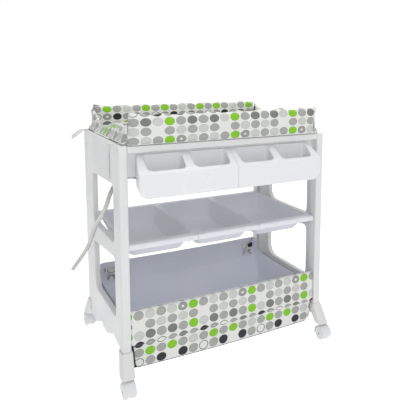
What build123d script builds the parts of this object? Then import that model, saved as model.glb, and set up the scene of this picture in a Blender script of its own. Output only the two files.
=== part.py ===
"""Changing table with a bathtub, on four twin-wheel casters.

Two moulded end frames carry front and rear rails. Between them hang a bathtub with a drain hose,
a front tray, a shelf of three lift-out bins and a cloth basket. A padded changing mat covers the tub
and swings back over it on two arms, until it hangs behind the table.

Frame: +X to the right, -Y to the front, +Z up. The origin is on the floor, in the middle of the
table's width and depth. All lengths are millimetres.
"""
from build123d import *
import math
import os

os.makedirs("parts", exist_ok=True)

# Driving dimensions of the whole table
table_width = 800.0
frame_depth = 506.0
post_top = 828.0
overrun = 1.0
seat_gap = 0.3
running_clearance = 0.05

# Posts
post_width = 30.0
post_depth = 40.0
post_foot_lift = 30.5
post_edge_radius = 6.0

# Side panels, with two windows in each
panel_thickness = 20.0
panel_edge_radius = 3.0
window_front_margin = 37.0
window_rear_margin = 89.0
upper_window_shares = (0.5918, 0.8345, 0.8213)
lower_window_shares = (0.2778, 0.5326, 0.4976)
window_scoop_radius = 46.0
window_front_radius = 24.0
window_top_radius = 20.0
window_rear_top_radius = 9.0
skirt_front_height = 141.0
skirt_middle_height = 114.0
skirt_slope_height = 153.0
skirt_foot_height = 86.0
skirt_step = 12.0
skirt_radius = 14.0
skirt_shares = (0.235, 0.038, -0.083, -0.275, -0.36)
foot_relief = 8.0
foot_relief_lift = 6.0

# Casters
caster_side_shift = 8.0
wheel_radius = 26.0
wheel_width = 15.0
wheel_edge_radius = 3.0
wheel_web_gap = 0.5
caster_web_thickness = 8.0
caster_web_radius = 17.0
caster_trail = 12.0
hood_gap = 1.5
hood_thickness = 3.0
hood_mouth_height = 19.0
neck_radius = 10.0
neck_height = 5.0
stem_radius = 5.0
stem_height = 24.0
axle_radius = 3.0
axle_proud = 0.8

# Feet, which sleeve the posts and reach out over the casters
foot_height = 74.5
foot_wall = 4.0
foot_bottom_width = 46.0
foot_bottom_depth = 48.0
foot_corner_radius = 8.0
foot_bottom_radius = 14.0
foot_edge_radius = 4.0
foot_mouth_radius = 2.5
foot_reach = 42.0
foot_socket_gap = 0.15

# Rails at the top
rail_depth = 25.0
rail_inset = 2.0
rail_drop = 2.0
rail_height = 23.0
rail_edge_radius = 3.0
rail_web_thickness = 3.0
rail_web_height = 82.0
ledge_depth = 22.0
ledge_thickness = 6.0
rear_rail_height = 26.0
rear_rail_depth = 22.0

# Screws that hold the rails
screw_radius = 2.5
screw_length = 52.0
screw_head_radius = 5.0
screw_head_height = 3.0
screw_recess = 1.2
screw_clearance = 0.1

# Bathtub, which hangs by its rim
tub_side_gap = 4.0
tub_rear_gap = 8.0
tub_rim_drop = 5.0
tub_rim_thickness = 4.0
tub_rim_corner = 70.0
tub_rim_width = 24.0
tub_rim_edge_radius = 1.5
tub_wall = 3.0
tub_basin_depth = 121.0
tub_well_depth = 62.0
tub_slope = 22.0
tub_step_inset = 92.0
tub_step_slope = 26.0

# Drain in the tub's floor
drain_inset = 46.0
drain_y = -10.0
drain_flange_radius = 24.0
drain_flange_thickness = 2.5
drain_bore_radius = 14.0
drain_body_radius = 19.0
drain_body_height = 30.0
drain_outlet_drop = 17.0
drain_outlet_radius = 10.0
drain_outlet_length = 34.0
plug_radius = 13.5
plug_height = 12.0
plug_cap_radius = 20.0
plug_cap_thickness = 3.0
plug_knob_radius = 6.0
plug_knob_height = 10.0

# Drain hose: its route is chosen by hand along what the photograph shows
hose_radius = 7.5
hose_bore_radius = 6.0
hose_route = (
    (-162.0, -10.0, 623.0),
    (-206.0, -10.0, 623.0),
    (-251.0, -14.0, 652.0),
    (-301.0, -34.0, 673.0),
    (-345.0, -70.0, 681.0),
    (-376.0, -108.0, 675.0),
    (-402.0, -146.0, 655.0),
    (-417.0, -150.0, 612.0),
    (-421.0, -95.0, 566.0),
    (-424.0, -22.0, 518.0),
    (-426.0, 45.0, 448.0),
    (-433.0, 105.0, 388.0),
    (-450.0, 150.0, 338.0),
    (-471.0, 185.0, 290.0),
)
hose_radius_share = 0.45

# Front tray, two halves of two compartments
tray_depth = 78.2
tray_side_gap = 18.0
tray_seam_gap = 0.6
tray_drop = 33.0
tray_fall = 54.0
tray_height = 135.0
tray_draw_in = 15.0
tray_wall = 4.0
tray_rim = 9.0
tray_end_rim = 31.0
tray_seam_rim = 18.0
tray_divider = 25.0
tray_corner_radius = 34.0
tray_edge_radius = 8.0
pocket_corner_radius = 16.0
pocket_taper = 6.0
tray_screw_lift = 8.0
tray_screw_radius = 2.0
tray_screw_head_radius = 4.5
tray_screw_head_height = 2.0

# Shelf bars and bins
shelf_bar_radius = 7.0
shelf_bar_inset = 2.0
shelf_height_share = 0.5894
bin_gap = 1.2
bin_side_gap = 2.0
bin_wall = 2.5
bin_lip_drop = 19.0
bin_lip_gap = 1.0
bin_depth = 63.0
bin_end_gap = 11.0
bin_end_slope = 50.0
bin_mouth_inset = 8.0
bin_side_slope = 22.0
bin_corner_radius = 22.0
bin_lip_radius = 7.0

# Basket
basket_side_gap = 4.0
basket_inset = 21.0
basket_cloth = 2.0
basket_hem = 58.0
basket_front_height = 206.0
basket_crease_height = 97.0
basket_tuck = 10.0
basket_wrap = 46.0
basket_rod_radius = 5.0
liner_wall = 3.0
liner_lift = 17.0
liner_side_height = 145.0
liner_rear_height = 206.0
rear_rod_lift = 100.0
trim_width = 13.0
trim_drop = 7.0
tie_width = 44.0
tie_height = 30.0
tie_thickness = 9.0
tie_drop = 56.0
tie_tail_share = 0.7
tie_inset = 24.0

# Changing mat
mat_side_inset = 28.0
mat_overhang = 9.0
mat_height = 98.0
mat_lift = 0.4
board_thickness = 6.0
board_inset = 4.0
board_corner_radius = 16.0
pad_edge_height = 15.0
pad_crown_height = 27.0
pad_inset = 32.0
pad_draw_in = 7.0
wall_thickness = 25.0
wall_bulge = 3.0
gusset_thickness = 12.0
gusset_rear_height = 88.0
gusset_low_height = 38.0
gusset_middle_height = 51.0
gusset_front_height = 70.0
gusset_rear_share = 0.23
gusset_middle_share = -0.44

# Swing arms that carry the mat
arm_pivot_inset = 18.0
arm_pivot_drop = 25.0
arm_length = 235.0
arm_width = 20.0
arm_thickness = 10.0
arm_side_gap = 4.0
arm_rail_gap = 2.0
pivot_radius = 4.0
pivot_head_radius = 7.0
pivot_head_thickness = 2.5
plate_thickness = 4.0
plate_width = 32.0
plate_height = 54.0
plate_screw_radius = 3.0
plate_screw_height = 1.6
plate_screw_inset = 11.0
ear_thickness = 6.0
ear_width = 24.0
ear_gap = 4.0

# Straps
strap_width = 16.0
strap_thickness = 1.8
strap_reach = 36.0
strap_tail = 42.0
strap_tail_drop = 30.0
strap_inset = 22.0
side_strap_y = -140.0
side_strap_width = 15.0
side_strap_length = 104.0
buckle_width = 24.0
buckle_height = 22.0
buckle_thickness = 5.0

# Places in plan that follow from the sizes above
half_width = table_width / 2
half_depth = frame_depth / 2
post_inner_x = half_width - post_width
post_inner_y = half_depth - post_depth
post_middle_x = half_width - post_width / 2
post_middle_y = half_depth - post_depth / 2
panel_inner_x = half_width - panel_thickness
window_front = -post_inner_y + window_front_margin
window_rear = post_inner_y - window_rear_margin
caster_x = post_middle_x + caster_side_shift
caster_y = post_middle_y + foot_reach
rail_front_y = -half_depth + rail_inset
rail_rear_y = rail_front_y + rail_depth
web_front_y = rail_rear_y - rail_web_thickness
tray_rear_y = web_front_y - seat_gap
tray_front_y = tray_rear_y - tray_depth
tray_half_width = post_inner_x - tray_side_gap
arm_outer_x = post_inner_x - plate_thickness - arm_side_gap
arm_inner_x = arm_outer_x - arm_thickness
arm_pivot_y = half_depth - arm_pivot_inset
mat_pivot_y = arm_pivot_y - arm_length
ear_outer_x = arm_inner_x - ear_gap
ear_inner_x = ear_outer_x - ear_thickness
rear_rail_rear = arm_pivot_y - plate_width / 2 - overrun
tub_rim_half_width = ear_inner_x - tub_side_gap
tub_rim_rear = rear_rail_rear - tub_rear_gap
tub_rim_front = rail_rear_y + 2 * running_clearance
tub_middle_y = (tub_rim_rear + tub_rim_front) / 2
tub_rim_depth = tub_rim_rear - tub_rim_front
well_half_width = tub_rim_half_width - tub_rim_width - tub_slope - tub_step_inset
drain_x = drain_inset + tub_step_slope - well_half_width
shelf_bar_y = post_middle_y - shelf_bar_inset
basket_half_width = post_inner_x - basket_side_gap
basket_front = half_depth - basket_inset
mat_half_width = half_width - mat_side_inset
mat_half_depth = half_depth + mat_overhang
strap_y = mat_half_depth - strap_inset

# Heights that follow from the sizes above
hood_radius = wheel_radius + hood_gap + hood_thickness
foot_bottom = wheel_radius + hood_radius + neck_height
foot_top = foot_bottom + foot_height
post_foot = foot_bottom + post_foot_lift
front_rail_top = post_top - rail_drop
front_rail_bottom = front_rail_top - rail_height
rail_web_bottom = front_rail_bottom - rail_web_height
tray_screw_height = rail_web_bottom + tray_screw_lift
tub_rim_top = post_top - tub_rim_drop
tub_seat = tub_rim_top - tub_rim_thickness
tub_carrier_top = tub_seat - seat_gap
tub_ledge_height = tub_rim_top - tub_basin_depth
tub_floor_height = tub_ledge_height - tub_well_depth
arm_pivot_z = post_top - arm_pivot_drop
rear_rail_top = arm_pivot_z - arm_width / 2 - arm_rail_gap
tray_rear_top = post_top - tray_drop
tray_front_top = tray_rear_top - tray_fall
tray_bottom = tray_rear_top - tray_height
shelf_bar_z = shelf_height_share * post_top
bin_top = shelf_bar_z + shelf_bar_radius + seat_gap + bin_wall
basket_front_top = basket_hem + basket_front_height
basket_crease = basket_hem + basket_crease_height
trim_top = basket_crease - trim_drop
liner_floor = basket_hem + basket_cloth + liner_lift
liner_side_top = liner_floor + liner_side_height
liner_rear_top = liner_floor + liner_rear_height
rear_rod_height = liner_floor + rear_rod_lift
mat_bottom = post_top + mat_lift
board_top = mat_bottom + board_thickness
pad_bottom = board_top + seat_gap
mat_top = mat_bottom + mat_height
buckle_top = post_top - overrun
buckle_bottom = buckle_top - buckle_height

SIDES = (("left", -1), ("right", 1))
ENDS = (("front", -1), ("rear", 1))


def block(x_range, y_range, z_range):
    """A box between two limits on each axis."""
    spans = [sorted(span) for span in (x_range, y_range, z_range)]
    sizes = [high - low for low, high in spans]
    middles = [(high + low) / 2 for low, high in spans]
    return Pos(*middles) * Box(*sizes)


def rod(start, direction, radius, length):
    """A round bar from a point along a direction."""
    place = Plane(origin=start, z_dir=direction)
    return place * Cylinder(radius, length, align=(Align.CENTER, Align.CENTER, Align.MIN))


def side_profile(points, radii, x_range):
    """A plate with an outline of (y, z) points and corner radii, between two X limits."""
    low, high = sorted(x_range)
    outline = FilletPolyline(*points, radius=radii, close=True)
    face = make_face(Plane.YZ * outline)
    return Pos(low, 0, 0) * extrude(face, high - low, dir=(1, 0, 0))


def tapered(width_a, depth_a, z_a, width_b, depth_b, z_b, corner, middle=(0, 0)):
    """A tub-like solid between two rounded rectangles at two heights."""
    low = Pos(middle[0], middle[1], z_a) * RectangleRounded(width_a, depth_a, corner)
    high = Pos(middle[0], middle[1], z_b) * RectangleRounded(width_b, depth_b, corner)
    return loft([low, high])


def save(name, shape):
    export_step(shape, f"parts/{name}.step")


def group(solids):
    return Compound(children=list(solids))


def rail_screw_place(side_sign, end):
    """Where a rail's end screw enters the outer face of a post."""
    if end == "front":
        return (side_sign * half_width, (rail_front_y + rail_rear_y) / 2,
                (front_rail_top + front_rail_bottom) / 2)
    return (side_sign * half_width, rear_rail_rear - rear_rail_depth / 2,
            rear_rail_top - rear_rail_height / 2)


def rail_screw(side_sign, end, slack):
    """The screw, or with slack the hole that takes it."""
    x, y, z = rail_screw_place(side_sign, end)
    inward = (-side_sign, 0, 0)
    mouth = 0 if slack else screw_recess
    head_x = x - side_sign * mouth
    head_depth = screw_head_height + screw_recess - mouth
    head = rod((head_x, y, z), inward, screw_head_radius + slack, head_depth)
    shank_x = x - side_sign * (screw_recess + screw_head_height)
    return head + rod((shank_x, y, z), inward, screw_radius + slack, screw_length)


def post(side_sign, end, end_sign):
    x_range = (side_sign * post_inner_x, side_sign * half_width)
    y_range = (end_sign * post_inner_y, end_sign * half_depth)
    body = block(x_range, y_range, (post_foot, post_top))
    outer = body.edges().filter_by(Axis.Z).sort_by(lambda edge: -abs(edge.center().Y))[:2]
    body = fillet(outer, post_edge_radius)
    crown = body.faces().sort_by(Axis.Z)[-1].edges()
    tops = [edge for edge in crown if abs(edge.center().Y) > post_inner_y + overrun]
    body = fillet(tops, post_edge_radius - overrun)
    if end == "front":
        body -= rail_screw(side_sign, end, screw_clearance)
    return body


def window(height_shares, x_range):
    """The cutter for one window, with its heights as shares of the posts' height."""
    bottom, front_top, rear_top = (share * post_top for share in height_shares)
    points = ((window_front, bottom), (window_rear, bottom), (window_rear, rear_top),
              (window_front, front_top))
    radii = (window_front_radius, window_scoop_radius, window_rear_top_radius, window_top_radius)
    return side_profile(points, radii, x_range)


def side_panel(side_sign):
    """One moulded end panel between its two posts, with a stepped skirt and two windows."""
    slope_y, notch_y, middle_y, rise_y, web_y = (share * frame_depth for share in skirt_shares)
    rear_y = post_inner_y - foot_relief
    relief_top = foot_top + foot_relief_lift
    points = (
        (-post_inner_y, post_top),
        (-post_inner_y, skirt_front_height),
        (web_y, skirt_front_height),
        (rise_y, skirt_slope_height),
        (middle_y, skirt_middle_height),
        (notch_y, skirt_middle_height),
        (notch_y + skirt_step, skirt_middle_height + skirt_step),
        (slope_y, skirt_foot_height),
        (rear_y, skirt_foot_height),
        (rear_y, relief_top),
        (post_inner_y, relief_top),
        (post_inner_y, post_top),
    )
    small = panel_edge_radius
    radii = (small, small, skirt_radius, skirt_radius, skirt_radius, small, small, skirt_radius,
             small, small, small, small)
    x_range = (side_sign * panel_inner_x, side_sign * half_width)
    body = side_profile(points, radii, x_range)
    cut_range = (side_sign * (panel_inner_x - overrun), side_sign * (half_width + overrun))
    body -= window(upper_window_shares, cut_range)
    body -= window(lower_window_shares, cut_range)
    openings = [edge for edge in body.edges()
                if abs(abs(edge.center().X) - half_width) < running_clearance
                and window_front - overrun < edge.center().Y < window_rear + overrun
                and edge.center().Z > lower_window_shares[0] * post_top - overrun
                and edge.center().Z < upper_window_shares[1] * post_top + overrun]
    body = chamfer(openings, panel_edge_radius)
    return body - rail_screw(side_sign, "rear", screw_clearance)


def foot(side_sign, end_sign):
    """The sleeve round a post's lower end, which reaches out over its caster."""
    top_face = Pos(side_sign * post_middle_x, end_sign * post_middle_y, foot_top) * RectangleRounded(
        post_width + 2 * foot_wall, post_depth + 2 * foot_wall, foot_corner_radius)
    bottom_face = Pos(side_sign * caster_x, end_sign * caster_y, foot_bottom) * RectangleRounded(
        foot_bottom_width, foot_bottom_depth, foot_bottom_radius)
    body = loft([bottom_face, top_face])
    body = fillet(body.faces().sort_by(Axis.Z)[0].edges(), foot_edge_radius)
    body = fillet(body.faces().sort_by(Axis.Z)[-1].edges(), foot_mouth_radius)
    gap = foot_socket_gap
    body -= block((side_sign * (post_inner_x - gap), side_sign * (half_width + gap)),
                  (end_sign * (post_inner_y - gap), end_sign * (half_depth + gap)),
                  (post_foot, foot_top + overrun))
    bore = rod((side_sign * caster_x, end_sign * caster_y, foot_bottom - overrun), (0, 0, 1),
               stem_radius + running_clearance, stem_height + 2 * overrun)
    return body - bore


def caster_middle(side_sign, end_sign):
    return side_sign * caster_x, end_sign * (caster_y + caster_trail)


def across(centre_x, y, z, radius, length):
    """A round bar along X, centred on a point."""
    return rod((centre_x - length / 2, y, z), (1, 0, 0), radius, length)


def caster_housing(side_sign, end_sign):
    """The stem, neck, hood and middle web of one caster."""
    x, y = caster_middle(side_sign, end_sign)
    width = caster_web_thickness + 2 * (wheel_width + wheel_web_gap)
    inner = hood_radius - hood_thickness
    hood = across(x, y, wheel_radius, hood_radius, width)
    hood -= across(x, y, wheel_radius, inner, width + 2 * overrun)
    hood -= block((x - width, x + width), (y - 2 * hood_radius, y + 2 * hood_radius),
                  (-hood_radius, hood_mouth_height))
    web = across(x, y, wheel_radius, caster_web_radius, caster_web_thickness)
    half_web = caster_web_thickness / 2
    web += block((x - half_web, x + half_web), (y - neck_radius, y + neck_radius),
                 (wheel_radius, wheel_radius + inner + hood_thickness / 2))
    pivot_y = end_sign * caster_y
    neck_bottom = wheel_radius + inner - overrun
    neck = rod((x, pivot_y, neck_bottom), (0, 0, 1), neck_radius, foot_bottom - seat_gap - neck_bottom)
    neck -= across(x, y, wheel_radius, inner, 2 * width)
    stem = rod((x, pivot_y, foot_bottom - overrun), (0, 0, 1), stem_radius, stem_height + overrun)
    body = hood + web + neck + stem
    return body - across(x, y, wheel_radius, axle_radius, width + 2 * overrun)


def caster_wheels(side_sign, end_sign):
    x, y = caster_middle(side_sign, end_sign)
    wheels = []
    for way in (-1, 1):
        middle = x + way * (caster_web_thickness / 2 + wheel_web_gap + wheel_width / 2)
        wheel = across(middle, y, wheel_radius, wheel_radius, wheel_width)
        rims = [edge for edge in wheel.edges().filter_by(GeomType.CIRCLE)
                if edge.radius > wheel_radius - overrun]
        wheel = fillet(rims, wheel_edge_radius)
        wheels.append(wheel - across(middle, y, wheel_radius, axle_radius + running_clearance,
                                     wheel_width + 2 * overrun))
    return group(wheels)


def caster_axle(side_sign, end_sign):
    x, y = caster_middle(side_sign, end_sign)
    width = caster_web_thickness + 2 * (wheel_width + wheel_web_gap + axle_proud)
    return across(x, y, wheel_radius, axle_radius, width)


def front_rail():
    """The light bar under the mat, with a web for the tray and a ledge for the tub."""
    span = (-post_inner_x, post_inner_x)
    bar = block(span, (rail_front_y, rail_rear_y), (front_rail_bottom, front_rail_top))
    long_edges = bar.edges().filter_by(Axis.X).sort_by(Axis.Y)[:2]
    bar = fillet(long_edges, rail_edge_radius)
    web = block(span, (web_front_y, rail_rear_y), (rail_web_bottom, front_rail_bottom))
    ledge_span = (tub_rim_corner - tub_rim_half_width, tub_rim_half_width - tub_rim_corner)
    ledge = block(ledge_span, (rail_rear_y - rail_web_thickness, rail_rear_y + ledge_depth),
                  (tub_carrier_top - ledge_thickness, tub_carrier_top))
    body = bar + web + ledge
    for _, sign in SIDES:
        body -= rail_screw(sign, "front", running_clearance)
    for x in tray_screw_places():
        body -= rod((x, rail_rear_y + overrun, tray_screw_height), (0, -1, 0),
                    tray_screw_radius + running_clearance, rail_web_thickness + 2 * overrun)
    return body


def rear_rail():
    """The bar under the swing arms, with an upstand in its middle for the tub's rim."""
    body = block((-panel_inner_x, panel_inner_x), (rear_rail_rear - rear_rail_depth, rear_rail_rear),
                 (rear_rail_top - rear_rail_height, rear_rail_top))
    upstand_span = (tub_rim_corner - tub_rim_half_width, tub_rim_half_width - tub_rim_corner)
    body += block(upstand_span, (tub_rim_rear - ledge_thickness, tub_rim_rear),
                  (rear_rail_top - overrun, tub_carrier_top))
    for sign in (-1, 1):
        relief = (sign * post_inner_x, sign * (panel_inner_x + overrun))
        body -= block(relief, (post_inner_y, rear_rail_rear + overrun),
                      (rear_rail_top - rear_rail_height - overrun, rear_rail_top + overrun))
        body -= rail_screw(sign, "rear", running_clearance)
    return body


def tub_shape(inset, floor_lift, top):
    """The tub's bowl: a shallow basin with a deeper one let into it."""
    basin_width = 2 * (tub_rim_half_width - tub_rim_width - inset)
    basin_depth = tub_rim_depth - 2 * (tub_rim_width + inset)
    corner = tub_rim_corner - tub_rim_width - inset
    ledge = tub_ledge_height + floor_lift
    middle = (0, tub_middle_y)
    upper = tapered(basin_width - 2 * tub_slope, basin_depth - 2 * tub_slope, ledge,
                    basin_width, basin_depth, top, corner, middle)
    lower_width = basin_width - 2 * (tub_slope + tub_step_inset)
    lower_depth = basin_depth - 2 * (tub_slope + tub_step_slope)
    lower = tapered(lower_width - 2 * tub_step_slope, lower_depth - 2 * tub_slope,
                    tub_floor_height + floor_lift, lower_width, lower_depth, ledge + overrun,
                    corner, middle)
    return upper + lower


def tub():
    """The bathtub: a flat rim to hang by, a bowl, and a drain hole in its floor."""
    rim = Pos(0, tub_middle_y, tub_seat) * extrude(
        RectangleRounded(2 * tub_rim_half_width, tub_rim_depth, tub_rim_corner), tub_rim_thickness)
    rim = fillet(rim.faces().sort_by(Axis.Z)[-1].edges(), tub_rim_edge_radius)
    body = rim + tub_shape(0, 0, tub_seat)
    body -= tub_shape(tub_wall, tub_wall, tub_rim_top + overrun)
    return body - rod((drain_x, drain_y, tub_floor_height - overrun), (0, 0, 1), drain_bore_radius,
                      tub_wall + 2 * overrun)


def tub_drain():
    """The waste fitting under the tub's floor, with its outlet for the hose."""
    top = tub_floor_height
    body = rod((drain_x, drain_y, top - drain_flange_thickness), (0, 0, 1), drain_flange_radius,
               drain_flange_thickness)
    body += rod((drain_x, drain_y, top - drain_body_height), (0, 0, 1), drain_body_radius,
                drain_body_height)
    outlet_z = tub_floor_height - drain_outlet_drop
    outlet = rod((drain_x, drain_y, outlet_z), (-1, 0, 0), drain_outlet_radius, drain_outlet_length)
    body += outlet
    body -= rod((drain_x, drain_y, top - drain_body_height + tub_wall), (0, 0, 1), drain_bore_radius,
                drain_body_height)
    body -= rod((drain_x, drain_y, outlet_z), (-1, 0, 0), hose_bore_radius,
                drain_outlet_length + overrun)
    return body


def drain_plug():
    """The plug in the drain, with a knob to lift it by."""
    floor = tub_floor_height + tub_wall
    body = rod((drain_x, drain_y, floor + seat_gap), (0, 0, 1), plug_cap_radius, plug_cap_thickness)
    body += rod((drain_x, drain_y, floor - plug_height), (0, 0, 1), plug_radius,
                plug_height + seat_gap + overrun)
    body += rod((drain_x, drain_y, floor + seat_gap), (0, 0, 1), plug_knob_radius,
                plug_cap_thickness + plug_knob_height)
    return body


def hose_radii():
    """Each bend's radius, from the shorter of its two runs and its angle."""
    points = [Vector(*point) for point in hose_route]
    radii = []
    for before, here, after in zip(points, points[1:], points[2:]):
        run_in = here - before
        run_out = after - here
        half_turn = math.radians(run_in.get_angle(run_out)) / 2
        shorter = min(run_in.length, run_out.length)
        radii.append(hose_radius_share * shorter / math.tan(half_turn))
    return radii


def drain_hose():
    """The free hose: a tube swept along straight runs and tangent arcs."""
    radii = hose_radii()
    print("hose bend radii", [round(radius) for radius in radii])
    path = FilletPolyline(*hose_route, radius=radii)
    start = Plane(origin=path @ 0, z_dir=path % 0)
    section = start * (Circle(hose_radius) - Circle(hose_bore_radius))
    hose = sweep(section, path=path)
    wall_area = math.pi * (hose_radius**2 - hose_bore_radius**2)
    print("hose length", round(path.length), "volume over area times length",
          round(hose.volume / (wall_area * path.length), 3))
    return hose


def tray_screw_places():
    """The X places of the screws that hold the tray, two for each half."""
    quarter = tray_half_width / 4
    return (-3 * quarter, -quarter, quarter, 3 * quarter)


def tray_half(side_sign):
    """One half of the front tray, with two open compartments and a sloping top."""
    outer_x = side_sign * tray_half_width
    seam_x = side_sign * tray_seam_gap / 2
    rear_y = tray_rear_y
    points = ((rear_y, tray_bottom), (rear_y, tray_rear_top), (tray_front_y, tray_front_top),
              (tray_front_y, tray_bottom))
    low_x = min(seam_x, outer_x)
    face = make_face(Plane.YZ * Polyline(*points, close=True))
    body = Pos(low_x, 0, 0) * extrude(face, tray_half_width - tray_seam_gap / 2, dir=(1, 0, 0))
    wedge = make_face(Plane.XY * Polyline((outer_x, tray_front_y), (outer_x, rear_y),
                                          (outer_x - side_sign * tray_draw_in, rear_y), close=True))
    body -= Pos(0, 0, tray_bottom) * extrude(wedge, tray_height, dir=(0, 0, 1))
    middle_x = outer_x - side_sign * tray_draw_in / 2
    low_edge = [edge for edge in body.edges() if abs(edge.center().X - middle_x) < seat_gap
                and edge.center().Z < tray_bottom + seat_gap]
    body = fillet(low_edge, tray_corner_radius)
    at_front = [edge for edge in body.edges()
                if abs(edge.center().Y - tray_front_y) < seat_gap
                and abs(edge.center().X - seam_x) > seat_gap]
    body = fillet(at_front, tray_edge_radius)
    pocket_depth = tray_depth - tray_wall - tray_rim
    pocket_middle = rear_y - tray_wall - pocket_depth / 2
    usable = tray_half_width - tray_seam_gap / 2 - tray_seam_rim - tray_end_rim
    pocket_width = (usable - tray_divider) / 2
    for index in range(2):
        middle = side_sign * (tray_seam_gap / 2 + tray_seam_rim + pocket_width / 2
                              + index * (pocket_width + tray_divider))
        floor = tapered(pocket_width - 4 * pocket_taper, pocket_depth - 2 * pocket_taper,
                        tray_bottom + tray_wall, pocket_width, pocket_depth,
                        tray_rear_top, pocket_corner_radius, (middle, pocket_middle))
        body -= floor
    for x in tray_screw_places():
        if x * side_sign > 0:
            body -= rod((x, rail_rear_y, tray_screw_height), (0, -1, 0),
                        tray_screw_radius + running_clearance,
                        rail_web_thickness + seat_gap + tray_wall + overrun)
    return body


def tray_screws():
    """Screws from behind, through the rail's web into the tray's rear wall."""
    screws = []
    for x in tray_screw_places():
        head = rod((x, rail_rear_y + tray_screw_head_height, tray_screw_height), (0, -1, 0),
                   tray_screw_head_radius, tray_screw_head_height)
        shank = rod((x, rail_rear_y, tray_screw_height), (0, -1, 0), tray_screw_radius,
                    rail_web_thickness + seat_gap + tray_wall)
        screws.append(head + shank)
    return group(screws)


def shelf_bar(end_sign):
    return rod((-post_inner_x, end_sign * shelf_bar_y, shelf_bar_z), (1, 0, 0), shelf_bar_radius,
               2 * post_inner_x)


def shelf_bin(index):
    """One of the three lift-out bins, hung by its lips over the two shelf bars."""
    width = (2 * (post_inner_x - bin_side_gap) - 2 * bin_gap) / 3
    middle = (index - 1) * (width + bin_gap)
    lip_y = shelf_bar_y + shelf_bar_radius + bin_lip_gap + bin_wall
    x_range = (middle - width / 2, middle + width / 2)
    body = block(x_range, (-lip_y, lip_y), (bin_top - bin_lip_drop, bin_top))
    body = fillet(body.edges().filter_by(Axis.X).sort_by(Axis.Z)[-2:], bin_lip_radius)
    hollow_y = lip_y - bin_wall
    hollow = block((x_range[0] - overrun, x_range[1] + overrun), (-hollow_y, hollow_y),
                   (bin_top - bin_lip_drop - overrun, bin_top - bin_wall))
    hollow_edges = hollow.edges().filter_by(Axis.X).sort_by(Axis.Z)[-2:]
    body -= fillet(hollow_edges, bin_lip_radius - bin_wall)
    mouth_width = width - 2 * bin_mouth_inset
    mouth_depth = 2 * (shelf_bar_y - shelf_bar_radius - bin_end_gap)
    floor_width = mouth_width - 2 * bin_side_slope
    floor_depth = mouth_depth - 2 * bin_end_slope
    floor_z = bin_top - bin_depth - bin_wall
    outer = tapered(floor_width, floor_depth, floor_z, mouth_width + 2 * bin_wall,
                    mouth_depth + 2 * bin_wall, bin_top - bin_wall / 2,
                    bin_corner_radius, (middle, 0))
    inner = tapered(floor_width - 2 * bin_wall, floor_depth - 2 * bin_wall, floor_z + bin_wall,
                    mouth_width, mouth_depth, bin_top + overrun / 2,
                    bin_corner_radius, (middle, 0))
    return (body + outer) - inner


def basket_rods():
    """The two rods that carry the basket between the posts."""
    half_span = post_inner_x
    front = rod((-half_span, -(basket_front - basket_cloth - basket_rod_radius - seat_gap),
                 basket_crease), (1, 0, 0), basket_rod_radius, 2 * half_span)
    rear = rod((-half_span, basket_rear_rod_y(), rear_rod_height), (1, 0, 0),
               basket_rod_radius, 2 * half_span)
    return group((front, rear))


def liner_front_y():
    return -(basket_front - basket_cloth - 2 * basket_rod_radius - 2 * seat_gap)


def basket_rear_rod_y():
    return -liner_front_y() + seat_gap + basket_rod_radius


def basket_liner():
    """The grey inner bag: floor, low sides, front and a higher rear."""
    front_y = liner_front_y()
    rear_y = -front_y
    x_range = (-basket_half_width, basket_half_width)
    body = block(x_range, (front_y, rear_y), (liner_floor, liner_rear_top))
    inner_x = basket_half_width - liner_wall
    body -= block((-inner_x, inner_x), (front_y + liner_wall, rear_y - liner_wall),
                  (liner_floor + liner_wall, liner_rear_top + overrun))
    body -= block((-basket_half_width - overrun, basket_half_width + overrun),
                  (front_y - overrun, rear_y - liner_wall), (liner_side_top, liner_rear_top + overrun))
    lip = block(x_range, (front_y, front_y + liner_wall), (liner_side_top, basket_front_top))
    return body + lip


def basket_cloth_section(top):
    """The outer cloth's section from a height down: straight to the crease, then drawn in and under."""
    outer = -basket_front
    inner = outer + basket_cloth
    under = outer + basket_tuck
    points = ((outer, top), (outer, basket_crease), (under, basket_hem),
              (under + basket_wrap, basket_hem), (under + basket_wrap, basket_hem + basket_cloth),
              (under + basket_cloth, basket_hem + basket_cloth), (inner, basket_crease),
              (inner, top))
    face = make_face(Plane.YZ * Polyline(*points, close=True))
    return Pos(-basket_half_width, 0, 0) * extrude(face, 2 * basket_half_width, dir=(1, 0, 0))


def trim_wedge(side_sign, edge_gap):
    """The wedge left at a lower front corner, where the cloth narrows below the crease."""
    outer = side_sign * basket_half_width
    drop = edge_gap * (trim_top - basket_hem) / trim_width
    points = ((outer, trim_top - drop), (outer, basket_hem - overrun),
              (outer - side_sign * (trim_width - edge_gap), basket_hem - overrun))
    face = make_face(Plane.XZ * Polyline(*points, close=True))
    return Pos(0, -basket_front - overrun, 0) * extrude(face, basket_front, dir=(0, 1, 0))


def basket_front_panel():
    """The dotted outer cloth, which narrows below the rod's crease."""
    body = basket_cloth_section(basket_front_top)
    for _, sign in SIDES:
        body -= trim_wedge(sign, 0)
    return body


def basket_trim():
    """The dark wedges of webbing at the two lower front corners."""
    section = basket_cloth_section(basket_crease + overrun)
    return group(section & trim_wedge(sign, seat_gap) for _, sign in SIDES)


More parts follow.
